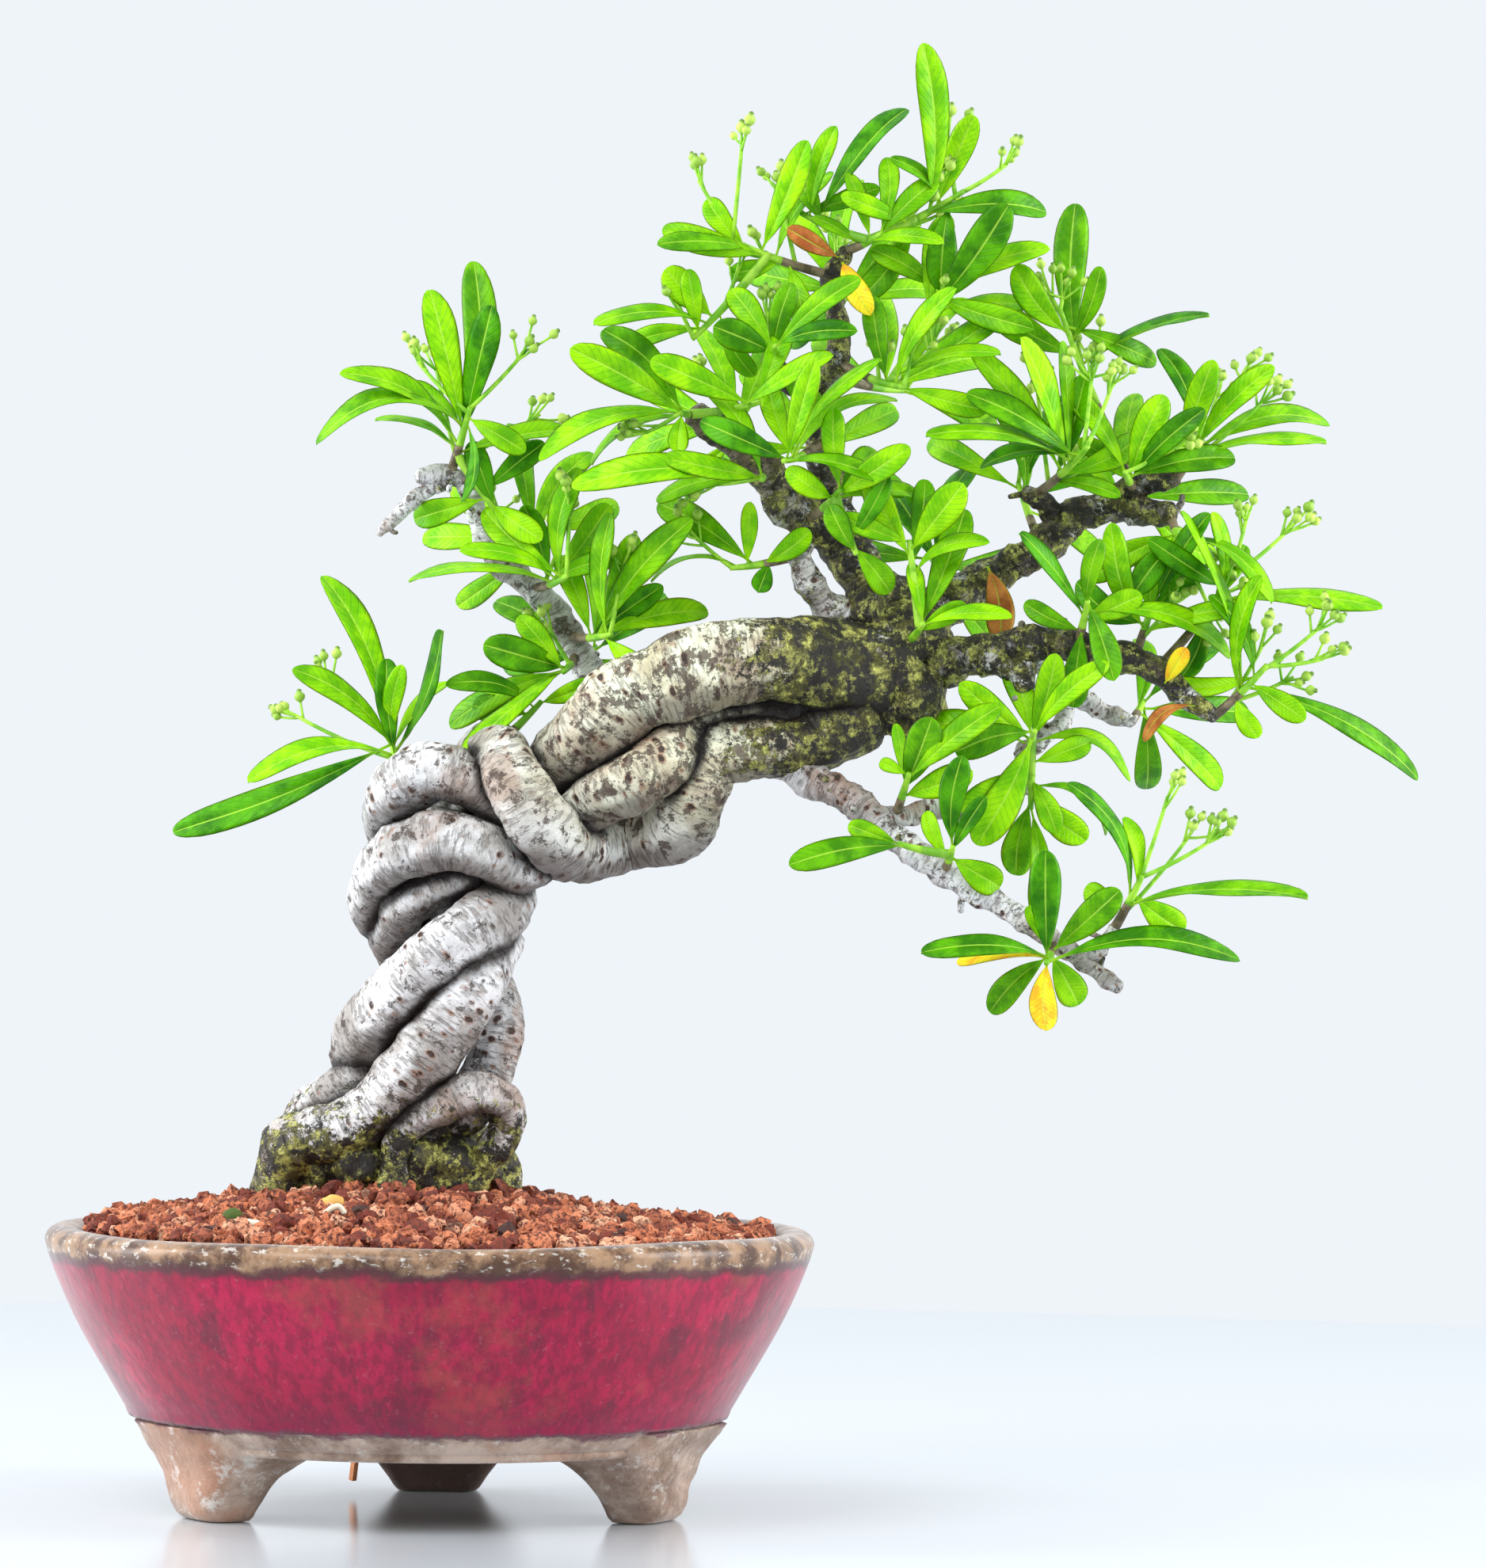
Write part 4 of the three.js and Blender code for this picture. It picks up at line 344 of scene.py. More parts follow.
def through(points, per_segment):
    """A centripetal curve through points (x, y, z, radius): positions and radii along it."""
    points = np.asarray(points, dtype=float)
    xyz, radii = points[:, :3], points[:, 3]
    padded = np.vstack([2 * xyz[0] - xyz[1], xyz, 2 * xyz[-1] - xyz[-2]])
    path, thickness = [], []
    last = len(xyz) - 2
    for i in range(len(xyz) - 1):
        a, b, c, d = padded[i:i + 4]
        gaps = [max(np.linalg.norm(q - p) ** 0.5, 1e-4) for p, q in ((a, b), (b, c), (c, d))]
        start = (b - a) / gaps[0] - (c - a) / (gaps[0] + gaps[1]) + (c - b) / gaps[1]
        end = (c - b) / gaps[1] - (d - b) / (gaps[1] + gaps[2]) + (d - c) / gaps[2]
        start, end = start * gaps[1], end * gaps[1]
        steps = np.linspace(0, 1, per_segment + 1)[:, None]
        if i < last:
            steps = steps[:-1]
        cubic = b + start * steps + (3 * (c - b) - 2 * start - end) * steps ** 2
        cubic = cubic + (2 * (b - c) + start + end) * steps ** 3
        path.append(cubic)
        thickness.append(radii[i] + (radii[i + 1] - radii[i]) * steps[:, 0])
    return np.vstack(path), np.concatenate(thickness)


def tube(path, radii, sides, bump=None):
    """Points and faces of a closed tube, with each point's share along and round it."""
    ahead = np.gradient(path, axis=0)
    ahead /= np.linalg.norm(ahead, axis=1)[:, None]
    across = np.cross(ahead[0], (0, 0, 1) if abs(ahead[0][2]) < 0.8 else (1, 0, 0))
    angles = round_angles(sides)
    rings, normals = [], []
    for centre, tangent in zip(path, ahead):
        across = unit(across - tangent * (across @ tangent))
        other = np.cross(tangent, across)
        normal = np.cos(angles)[:, None] * across + np.sin(angles)[:, None] * other
        rings.append(np.broadcast_to(centre, normal.shape))
        normals.append(normal)
    rings, normals = np.concatenate(rings), np.concatenate(normals)
    reach = np.repeat(radii, sides)
    surface = rings + normals * reach[:, None]
    lengths = np.concatenate([[0], np.cumsum(np.linalg.norm(np.diff(path, axis=0), axis=1))])
    along = np.repeat(lengths, sides)
    turn = np.tile(angles, len(path))
    if bump is not None:
        surface = surface + normals * (bump(surface, along, turn) * np.minimum(1, reach / 4))[:, None]
    return surface, ring_faces(len(path), sides), along, turn


def limb_grain(along, turn, radius):
    """Coordinates that run along a limb and round it, in millimetres."""
    return np.column_stack([along, radius * np.cos(turn), radius * np.sin(turn)])


def rounded_ends(path, radii, steps=4):
    """The same path with both ends drawn in to a dome."""
    def dome(end, inner, radius):
        outward = unit(end - inner)
        angles = np.linspace(0, math.pi / 2, steps + 1)[1:]
        centres = [end + outward * radius * 0.6 * math.sin(a) for a in angles]
        return centres, [max(radius * math.cos(a), radius * 0.12) for a in angles]
    head, head_radii = dome(path[0], path[1], radii[0])
    tail, tail_radii = dome(path[-1], path[-2], radii[-1])
    path = np.vstack([head[::-1], path, tail])
    return path, np.concatenate([head_radii[::-1], radii, tail_radii])


def placed(point):
    """A point of the tree as drawn, moved onto the pot's axis and the soil."""
    x, y, z = point[:3]
    return np.array([x, y, TREE_FOOT + z - DRAWN_SOIL]) + AXIS


def limb_path(points, per_segment):
    moved = [[*placed(point), point[3]] for point in points]
    return through(moved, per_segment)


# ---------- Materials ----------
class Shader:
    """A material made of nodes, with short ways to add the ones used here."""

    def __init__(self, name):
        self.material = bpy.data.materials.new(name)
        self.material.use_nodes = True
        self.tree = self.material.node_tree
        self.tree.nodes.clear()
        self.output = self.tree.nodes.new("ShaderNodeOutputMaterial")
        self.bsdf = self.tree.nodes.new("ShaderNodeBsdfPrincipled")
        self.link(self.bsdf.outputs[0], self.output.inputs[0])
        self.coords = self.tree.nodes.new("ShaderNodeTexCoord").outputs["Object"]

    def link(self, source, target):
        self.tree.links.new(source, target)

    def feed(self, socket, value):
        if isinstance(value, bpy.types.NodeSocket):
            self.link(value, socket)
        elif isinstance(value, tuple) and len(value) == 3 and socket.type == "RGBA":
            socket.default_value = (*value, 1)
        else:
            socket.default_value = value

    def set(self, **values):
        for name, value in values.items():
            self.feed(self.bsdf.inputs[name.replace("_", " ")], value)

    def node(self, kind, output, inputs, **settings):
        """A new node's output, with the settings made and the inputs linked or set."""
        made = self.tree.nodes.new("ShaderNode" + kind)
        for name, value in settings.items():
            setattr(made, name, value)
        for name, value in inputs.items():
            self.feed(made.inputs[name], value)
        return made.outputs[output]

    def math(self, operation, a, b=0.0):
        return self.node("Math", 0, {0: a, 1: b}, operation=operation)

    def times(self, a, b):
        return self.math("MULTIPLY", a, b)

    def plus(self, a, b):
        return self.math("ADD", a, b)

    def minus(self, a, b):
        return self.math("SUBTRACT", a, b)

    def rest(self, share):
        return self.math("SUBTRACT", 1.0, share)

    def noise(self, scale, detail=3.0, roughness=0.55, vector=None):
        inputs = {"Vector": vector or self.coords, "Scale": scale, "Detail": detail, "Roughness": roughness}
        return self.node("TexNoise", "Fac", inputs)

    def cells(self, scale, vector):
        """Distance to the nearest of many scattered points."""
        return self.node("TexVoronoi", "Distance", {"Vector": vector, "Scale": scale})

    def stretched(self, scale, vector=None):
        return self.node("Mapping", "Vector", {"Vector": vector or self.coords, "Scale": scale})

    def ramp(self, value, low, high):
        """0 below low, 1 above high."""
        inputs = {"Value": value, "From Min": low, "From Max": high}
        return self.node("MapRange", "Result", inputs, interpolation_type="SMOOTHSTEP")

    def mix(self, share, a, b):
        return self.node("Mix", "Result", {"Factor": share, "A": a, "B": b}, data_type="RGBA")

    def tint(self, base, share, strength, color):
        """The base with a colour laid over it, by a share of a strength."""
        return self.mix(self.times(share, strength), base, color)

    def blend(self, noise, low, high, a, b):
        """From one colour to the other, by noise of the given scale, detail and roughness."""
        return self.mix(self.ramp(self.noise(*noise), low, high), a, b)

    def wander(self, noise, strength):
        """Noise that runs both above and below nought."""
        return self.times(self.minus(self.noise(*noise), 0.5), strength)

    def stain(self, base, noise, low, high, strength, color):
        """The base with a colour laid over it in patches of noise."""
        return self.tint(base, self.ramp(self.noise(*noise), low, high), strength, color)

    def split(self, vector=None):
        node = self.tree.nodes.new("ShaderNodeSeparateXYZ")
        self.link(vector or self.coords, node.inputs[0])
        return node.outputs

    def kept(self, name):
        """The numbers of one name kept on each point: the node's outputs."""
        node = self.tree.nodes.new("ShaderNodeAttribute")
        node.attribute_name = name
        return node.outputs

    def place(self):
        """The four numbers of each point's place: three through a split, and the fourth as alpha."""
        outputs = self.kept("place")
        return *self.split(outputs["Color"]), outputs["Alpha"]

    def bump(self, height, strength, distance):
        inputs = {"Strength": strength, "Distance": distance * MM, "Height": height}
        self.link(self.node("Bump", "Normal", inputs), self.bsdf.inputs["Normal"])


def glaze_material():
    """Crimson glaze with brown mottling and runs, a bare olive band at the lip with painted glints, and
    clay below with painted shade at the back foot.
    """
    s = Shader("glaze")
    _, depth, height = s.split()
    crimson = s.blend((30, 5, 0.62), 0.38, 0.62, (0.31, 0.0, 0.034), (0.45, 0.001, 0.055))
    body = s.stain(crimson, (420, 5, 0.75, s.stretched((1, 1, 0.35))), 0.40, 0.60, 0.6, (0.12, 0.0, 0.025))
    body = s.stain(body, (75, 6, 0.72, s.stretched((1, 1, 0.25))), 0.50, 0.64, 0.7, (0.10, 0.008, 0.025))
    body = s.stain(body, (26, 6, 0.7), 0.52, 0.66, 0.5, (0.33, 0.06, 0.04))
    low = s.ramp(height, (WAIST_HEIGHT + 9) * MM, (WAIST_HEIGHT - 2) * MM)
    body = s.tint(body, low, 0.4, (0.15, 0.008, 0.05))
    body = s.stain(body, (620, 3, 0.6), 0.60, 0.72, 0.18, (0.50, 0.16, 0.18))
    edge = s.plus(height, s.wander((110, 5, 0.7), 0.0062))
    olive = s.blend((130, 6, 0.7), 0.38, 0.62, (0.08, 0.036, 0.02), (0.35, 0.21, 0.12))
    # Painted highlight: pale grey-white flecks on the lip band stand in for glints of light on the glaze.
    olive = s.stain(olive, (330, 4, 0.7, s.stretched((1, 1, 2))), 0.56, 0.66, 0.65, (0.72, 0.68, 0.62))
    lip_line = (RIM_TOP - 6.2) * MM
    body = s.mix(s.ramp(edge, lip_line - 0.0006, lip_line + 0.001), body, olive)
    seam = s.ramp(s.math("ABSOLUTE", s.minus(edge, lip_line)), 0.0003, 0.0018)
    body = s.tint(body, s.rest(seam), 0.85, (0.06, 0.015, 0.02))
    clay = s.blend((60, 6, 0.7), 0.35, 0.65, (0.20, 0.125, 0.085), (0.55, 0.42, 0.34))
    clay = s.stain(clay, (34, 4, 0.6), 0.48, 0.64, 0.7, (0.42, 0.21, 0.13))
    clay = s.stain(clay, (150, 7, 0.8), 0.54, 0.64, 0.6, (0.72, 0.70, 0.66))
    # Painted shade: the clay is darkened towards the back of the pot, where the back foot stands in shadow.
    clay = s.tint(clay, s.ramp(depth, 0.038, 0.046), 0.85, (0.05, 0.035, 0.03))
    clay_line = (WAIST_HEIGHT - 1.6) * MM
    glazed = s.ramp(edge, clay_line - 0.0006, clay_line + 0.0006)
    body = s.mix(glazed, clay, body)
    drip = s.ramp(s.math("ABSOLUTE", s.minus(edge, clay_line)), 0.0002, 0.0011)
    body = s.tint(body, s.rest(drip), 0.7, (0.10, 0.03, 0.05))
    roughness = s.plus(s.times(glazed, -0.42), 0.66)
    roughness = s.plus(roughness, s.times(s.noise(140, 4, 0.6), 0.14))
    s.set(Base_Color=body, Roughness=roughness, Specular_IOR_Level=0.36)
    s.set(Sheen_Weight=0.35, Sheen_Roughness=0.35)
    rough_clay = s.times(s.rest(glazed), s.noise(300, 5, 0.7))
    ripple = s.plus(s.noise(40, 3, 0.5), s.times(s.noise(260, 4, 0.6), 0.22))
    s.bump(s.plus(ripple, rough_clay), 0.6, 0.9)
    return s.material


def bark_material(name, mossy):
    """Pale bark wrinkled round the limb, with dark specks, rusty flecks, moss and painted shade. On each
    point, place holds how far it lies in a crease, how mossy and how weathered it is, and how far it faces
    down; the crease and the underside are darkened as painted shade."""
    s = Shader(name)
    crease, moss, weather, below = s.place()
    grain = s.kept("grain")["Vector"]
    tone = s.noise(55, 6, 0.7)
    color = s.mix(s.ramp(tone, 0.36, 0.60), (0.33, 0.305, 0.285), (0.75, 0.75, 0.76))
    tan = s.blend((90, 4, 0.6), 0.4, 0.6, (0.62, 0.55, 0.28), (0.92, 0.93, 0.62))
    color = s.tint(color, weather, 0.7, tan)
    color = s.stain(color, (34, 5, 0.65), 0.54, 0.66, 0.6, (0.30, 0.17, 0.11))
    wrinkles = s.noise(480, 4, 0.62, s.stretched((2.6, 0.5, 0.5), grain))
    color = s.tint(color, s.ramp(wrinkles, 0.51, 0.65), 0.55, (0.15, 0.115, 0.095))
    warped = s.wander((420, 3, 0.6), 0.55)
    dots = s.plus(s.cells(330, s.stretched((1.35, 0.75, 0.75), grain)), warped)
    crowd = s.plus(s.noise(60, 4, 0.65), s.times(weather, 0.06))
    halo = s.times(s.ramp(dots, 0.36, 0.22), s.ramp(crowd, 0.46, 0.56))
    color = s.tint(color, halo, 0.75, (0.27, 0.12, 0.065))
    specks = s.times(s.ramp(dots, 0.22, 0.14), s.ramp(crowd, 0.45, 0.54))
    color = s.tint(color, specks, 0.95, (0.03, 0.016, 0.012))
    blotch = s.ramp(s.plus(s.noise(230, 6, 0.78), s.times(weather, 0.05)), 0.57, 0.62)
    color = s.tint(color, blotch, 0.85, (0.07, 0.038, 0.024))
    if mossy:
        brown = s.blend((80, 5, 0.7), 0.35, 0.65, (0.02, 0.014, 0.009), (0.19, 0.14, 0.09))
        color = s.mix(s.ramp(tone, 0.44, 0.66), brown, color)
    # Painted shade: darker brown on the limbs' undersides, where they face down.
    shade = s.plus(below, s.wander((120, 5, 0.7), 1.0))
    color = s.tint(color, s.ramp(shade, 0.25, 0.95), 0.7, (0.06, 0.038, 0.026))
    bright = s.blend((330, 5, 0.75), 0.45, 0.60, (0.09, 0.085, 0.014), (0.56, 0.56, 0.13))
    dark = s.blend((230, 6, 0.78), 0.46, 0.56, (0.012, 0.009, 0.006), bright)
    patch = s.plus(moss, s.wander((260, 6, 0.8), 2.4))
    color = s.mix(s.ramp(patch, 0.46, 0.66), color, dark)
    # Painted shade: near-black laid into the creases between the stems, where they come close to one
    # another.
    crease_shade = s.plus(crease, s.wander((170, 5, 0.7), 0.9))
    color = s.mix(s.ramp(crease_shade, 0.16, 0.9), color, (0.013, 0.008, 0.006))
    s.set(Base_Color=color, Roughness=s.plus(0.4, s.times(s.noise(90, 3), 0.4)))
    relief = s.minus(s.noise(260, 5, 0.65), s.times(specks, 0.6))
    relief = s.minus(relief, s.times(s.ramp(wrinkles, 0.5, 0.68), 0.4))
    s.bump(s.minus(relief, s.times(blotch, 0.4)), 0.95, 0.9)
    return s.material


def leaf_material():
    """Green blade with a pale midrib, faint side veins and a thin dark margin. On each point, place
    holds the share along, the share across, the age (yellow past 1, brown past 1.5) and the face."""
    s = Shader("leaf")
    along, across, age, upper = s.place()
    from_rib = s.times(s.math("ABSOLUTE", s.minus(across, 0.5)), 2.0)
    mottle = s.noise(150, 4, 0.6)
    fresh = s.mix(s.ramp(mottle, 0.35, 0.65), (0.14, 0.46, 0.0), (0.33, 0.72, 0.002))
    deep = s.mix(s.ramp(mottle, 0.35, 0.65), (0.018, 0.13, 0.0), (0.08, 0.34, 0.0))
    blade = s.mix(s.ramp(age, 0.12, 0.8), fresh, deep)
    yellow = s.blend((200, 3), 0.4, 0.6, (0.86, 0.70, 0.02), (0.90, 0.40, 0.02))
    blade = s.mix(s.ramp(age, 0.98, 1.02), blade, yellow)
    brown = s.blend((220, 4), 0.35, 0.65, (0.36, 0.08, 0.02), (0.66, 0.24, 0.06))
    blade = s.mix(s.ramp(age, 1.48, 1.52), blade, brown)
    slant = s.minus(s.times(along, 15.0), s.times(from_rib, 2.2))
    veins = s.math("ABSOLUTE", s.math("SINE", s.times(slant, math.pi)))
    vein = s.rest(s.ramp(veins, 0.0, 0.4))
    blade = s.tint(blade, vein, 0.3, (0.05, 0.25, 0.004))
    rib = s.rest(s.ramp(from_rib, 0.01, 0.085))
    blade = s.tint(blade, rib, 0.6, (0.50, 0.82, 0.08))
    margin = s.ramp(from_rib, 0.90, 0.975)
    blade = s.tint(blade, margin, 0.8, (0.012, 0.09, 0.002))
    blade = s.mix(s.rest(s.ramp(along, 0.0, 0.16)), blade, (0.36, 0.66, 0.03))
    under = s.mix(0.35, blade, (0.40, 0.70, 0.04))
    blade = s.mix(upper, under, blade)
    s.set(Base_Color=blade, Roughness=s.plus(0.26, s.times(s.noise(500, 2), 0.2)))
    s.set(Subsurface_Weight=0.15, Subsurface_Scale=0.001, Subsurface_Radius=(0.5, 1.0, 0.1))
    s.set(Specular_IOR_Level=0.12)
    relief = s.plus(s.times(vein, -0.6), s.times(s.noise(600, 3), 0.6))
    s.bump(s.minus(relief, rib), 0.45, 0.3)
    return s.material


def shoot_material():
    """Young shoots and bud stalks: green, browner where they are older."""
    s = Shader("shoot")
    age = s.place()[2]
    green = s.blend((200, 3), 0.4, 0.6, (0.15, 0.44, 0.004), (0.34, 0.66, 0.03))
    brown = s.blend((300, 4), 0.4, 0.6, (0.06, 0.035, 0.02), (0.22, 0.16, 0.10))
    s.set(Base_Color=s.mix(s.ramp(age, 0.3, 0.8), green, brown), Roughness=0.55)
    s.bump(s.noise(600, 3), 0.3, 0.2)
    return s.material


def bud_material():
    """Small round buds: yellow-green, darker towards the tip."""
    s = Shader("bud")
    along, _, chance, _ = s.place()
    green = s.mix(chance, (0.24, 0.46, 0.03), (0.50, 0.70, 0.10))
    green = s.mix(s.ramp(along, 0.62, 0.95), green, (0.10, 0.22, 0.015))
    s.set(Base_Color=green, Roughness=0.45)
    s.bump(s.noise(900, 3), 0.3, 0.15)
    return s.material


def soil_material():
    """Red-brown lava and clay grains, each grain its own shade."""
    s = Shader("soil_grain")
    chance = s.place()[2]
    tone = s.mix(s.ramp(chance, 0.15, 0.6), (0.20, 0.035, 0.018), (0.62, 0.20, 0.09))
    tone = s.mix(s.ramp(chance, 0.72, 0.95), tone, (0.86, 0.46, 0.28))
    tone = s.mix(s.ramp(chance, 0.955, 0.985), tone, (0.05, 0.025, 0.02))
    pits = s.ramp(s.noise(900, 4, 0.7), 0.38, 0.56)
    tone = s.mix(s.rest(pits), tone, (0.09, 0.022, 0.014))
    s.set(Base_Color=tone, Roughness=0.85)
    s.bump(s.noise(700, 5, 0.7), 0.8, 0.5)
    return s.material


def plain_material(name, color, roughness, metallic=0.0, spread=0.25):
    s = Shader(name)
    dark = tuple(c * (1 - spread) for c in color)
    light = tuple(min(1, c * (1 + spread)) for c in color)
    s.set(Base_Color=s.mix(s.noise(260, 4), dark, light), Roughness=roughness, Metallic=metallic)
    s.bump(s.noise(500, 3), 0.3, 0.2)
    return s.material


glaze = glaze_material()
bark = bark_material("bark", mossy=False)
dark_bark = bark_material("dark_bark", mossy=True)
leaf = leaf_material()
shoot = shoot_material()
bud = bud_material()
grain = soil_material()
screen_plastic = plain_material("screen_plastic", (0.03, 0.03, 0.03), 0.5)
brown_wire = plain_material("brown_wire", (0.30, 0.12, 0.05), 0.4, 0.7)
straw = plain_material("straw", (0.75, 0.70, 0.55), 0.7)
pellet = plain_material("pellet", (0.72, 0.42, 0.10), 0.7)
moss_tuft = plain_material("moss_tuft", (0.06, 0.10, 0.015), 0.9, spread=0.6)


# ---------- Pot ----------
BOWL_CURVE = 1.25
LIP_HEIGHT = 3.0


def bowl_radius(height):
    """The bowl's outside at a height: nearly straight, and a little rounder towards the lip."""
    rise = np.clip((height - WAIST_HEIGHT) / (RIM_TOP - LIP_HEIGHT - WAIST_HEIGHT), 0, 1)
    return RIM_RADIUS - (RIM_RADIUS - WAIST_RADIUS) * (1 - rise) ** BOWL_CURVE


def arc(middle, reach, low, high, count):
    """Points of an ellipse about a middle, between two angles in degrees."""
    turns = np.radians(np.linspace(low, high, count))
    return [(middle[0] + reach[0] * math.cos(a), middle[1] + reach[1] * math.sin(a)) for a in turns]


def bowl_profile():
    """Outline of the bowl from the drainage hole, out, up, over the lip and back down inside."""
    lip_base = RIM_TOP - LIP_HEIGHT
    lip_middle = RIM_RADIUS - POT_WALL / 2
    floor_top = FOOT_HEIGHT + POT_FLOOR
    points = [(r, FOOT_HEIGHT) for r in np.linspace(DRAIN_RADIUS + 1, SKIRT_RADIUS - 1.5, 8)]
    points += arc((SKIRT_RADIUS - 1.5, FOOT_HEIGHT + 1.5), (1.7, 1.5), -80, 20, 6)
    points += [(r, FOOT_HEIGHT + 1.6 + (r - SKIRT_RADIUS) * 0.95) for r in (61.4, 62.8, 64.4, 65.8)]
    points += [(66.7, 21.6), (67.1, 22.4)]
    points += [(bowl_radius(z), z) for z in np.linspace(WAIST_HEIGHT + 0.3, lip_base, 30)]
    points += arc((lip_middle, lip_base), (POT_WALL / 2, LIP_HEIGHT), 8, 172, 15)
    points += [(bowl_radius(z) - POT_WALL, z) for z in np.linspace(lip_base - 0.4, floor_top + 1.5, 12)]
    points += [(r, floor_top) for r in np.linspace(55, DRAIN_RADIUS + 1, 5)]
    return points + arc((DRAIN_RADIUS + 1, FOOT_HEIGHT + POT_FLOOR / 2), (-1, 3.9), 80, -80, 6)


def build_bowl(shape):
    profile = np.array(bowl_profile())
    sides = 180
    points = [(r * math.cos(a), r * math.sin(a), z) for r, z in profile for a in round_angles(sides)]
    points = np.array(points)
    outward = points * (1, 1, 0)
    outward /= np.linalg.norm(outward, axis=1)[:, None]
    hand = wavy(points, 70, 3) * 0.28 + wavy(points, 24, 4) * 0.07
    points = points + outward * (hand * smoothstep(30, 60, np.hypot(points[:, 0], points[:, 1])))[:, None]
    points[:, 2] += wavy(points, 90, 5) * 0.3 * smoothstep(40, 63, points[:, 2])
    faces = ring_faces(len(profile), sides, closed_ends=False)
    last = (len(profile) - 1) * sides
    faces += [(last + i, last + (i + 1) % sides, (i + 1) % sides, i) for i in range(sides)]
    shape.add(points + AXIS, turned_out(faces))


# Each row of a foot: height, inner radius, outer radius, half width.
FOOT_ROWS = [
    (0.0, 49.0, 56.0, 7.2), (0.25, 47.8, 57.6, 9.0), (1.2, 47.2, 58.8, 10.0), (3.6, 46.8, 59.6, 11.6),
    (7.5, 46.0, 60.4, 14.6), (10.5, 45.0, 61.2, 17.4), (13.2, 43.0, 62.2, 20.4), (15.2, 41.0, 63.4, 23.0),
    (17.0, 39.0, 64.4, 24.8), (19.0, 38.0, 65.6, 25.8), (21.0, 38.0, 66.6, 26.2),
]


def build_foot(shape, turn, seed):
    sides = 48
    cos, sin = np.cos(round_angles(sides)), np.sin(round_angles(sides))
    rows = np.array(FOOT_ROWS)
    fine = np.linspace(0, len(rows) - 1, 40)
    rows = np.column_stack([np.interp(fine, range(len(rows)), rows[:, i]) for i in range(4)])
    squareness = 0.42
    rings = []
    for height, inner, outer, half in rows:
        sideways = half * np.sign(cos) * np.abs(cos) ** squareness
        reach = (outer + inner) / 2 + (outer - inner) / 2 * np.sign(sin) * np.abs(sin) ** squareness
        swing = sideways / reach
        level = np.full(sides, height)
        rings.append(np.column_stack([reach * np.sin(swing), -reach * np.cos(swing), level]))
    points = np.concatenate(rings)
    rough = wavy(points, 11, seed) * 0.28 + wavy(points, 5, seed + 1) * 0.12
    points[:, :2] *= 1 + (rough / 60 * smoothstep(0, 3, points[:, 2]))[:, None]
    cos, sin = math.cos(math.radians(turn)), math.sin(math.radians(turn))
    points = points @ np.array([[cos, sin, 0], [-sin, cos, 0], [0, 0, 1]])
    shape.add(points + AXIS, turned_out(ring_faces(len(rows), sides)))


def build_pot():
    shape = Shape()
    build_bowl(shape)
    for number, turn in enumerate(FOOT_TURNS):
        build_foot(shape, turn, 20 + 3 * number)
    shape.piece("glazed_bowl", [glaze], ["pot"])


# ---------- Soil ----------
BED_RINGS = 40
BED_SIDES = 72
BED_DEPTH = 2.2
GRAIN_COUNT = 3400
GRAIN_SIZES = [1.0, 1.5, 2.0, 2.6]
GRAIN_SHARES = [0.22, 0.36, 0.3, 0.12]


def mound_top(x, y):
    """Height of the soil's surface at a place measured from the pot's axis."""
    away = np.hypot(x - MOUND_SHIFT, y) / MOUND_SPREAD
    return SOIL_EDGE + MOUND_HEIGHT * np.exp(-away * away)


def rough_ball(rings=5, sides=7):
    """A low, lumpy ball as unit points and faces."""
    points = [(0, 0, -1)]
    for ring in range(1, rings):
        angle = math.pi * ring / rings
        for side in range(sides):
            turn = 2 * math.pi * (side + 0.5 * (ring % 2)) / sides
            points.append(on_ball(angle, turn))
    points.append((0, 0, 1))
    faces = [(0, 1 + (i + 1) % sides, 1 + i) for i in range(sides)]
    for ring in range(rings - 2):
        low = 1 + ring * sides
        for i in range(sides):
            after = (i + 1) % sides
            faces.append((low + i, low + after, low + sides + after, low + sides + i))
    top = len(points) - 1
    low = 1 + (rings - 2) * sides
    faces += [(low + i, low + (i + 1) % sides, top) for i in range(sides)]
    return np.array(points), faces


def build_soil():
    """A dark bed a little under the surface, covered with separate grains."""
    chance = np.random.default_rng(11)
    reach = bowl_radius(SOIL_EDGE) - POT_WALL - 0.5
    shape = Shape()
    radii = np.linspace(1, reach, BED_RINGS)
    disc = [(r * math.cos(a), r * math.sin(a)) for r in radii for a in round_angles(BED_SIDES)]
    top = np.array([(x, y, mound_top(x, y) - BED_DEPTH) for x, y in disc])
    top[:, 2] += wavy(top, 6, 12) * 0.4
    base = top[-BED_SIDES:] * (1, 1, 0) + (0, 0, SOIL_EDGE - 8)
    rings = np.vstack([top, base])
    shape.add(rings + AXIS, turned_out(ring_faces(BED_RINGS + 1, BED_SIDES)), place=(0, 0, 0.05, 0))
    ball, ball_faces = rough_ball()
    for _ in range(GRAIN_COUNT):
        radius = reach * math.sqrt(chance.uniform())
        angle = chance.uniform(0, 2 * math.pi)
        x, y = radius * math.cos(angle), radius * math.sin(angle)
        size = chance.choice(GRAIN_SIZES, p=GRAIN_SHARES) * chance.uniform(0.85, 1.15)
        room = reach + 0.3 - size
        if radius > room:
            x, y = x * room / radius, y * room / radius
        stretch = chance.uniform(0.7, 1.15, size=3)
        lumps = 1 + 0.2 * chance.normal(size=(len(ball), 1)).clip(-1.6, 1.6)
        turn = np.linalg.qr(chance.normal(size=(3, 3)))[0]
        turn[:, 0] *= np.sign(np.linalg.det(turn))
        points = (ball * lumps * stretch * size) @ turn
        lift = chance.uniform(-1.2, 1.0)
        centre = np.array([x, y, mound_top(x, y) + lift - 0.8])
        shape.add(points + centre + AXIS, ball_faces, place=(0, 0, chance.uniform(), 0))
    shape.piece("soil_grains", [grain], ["soil"], smooth=False)


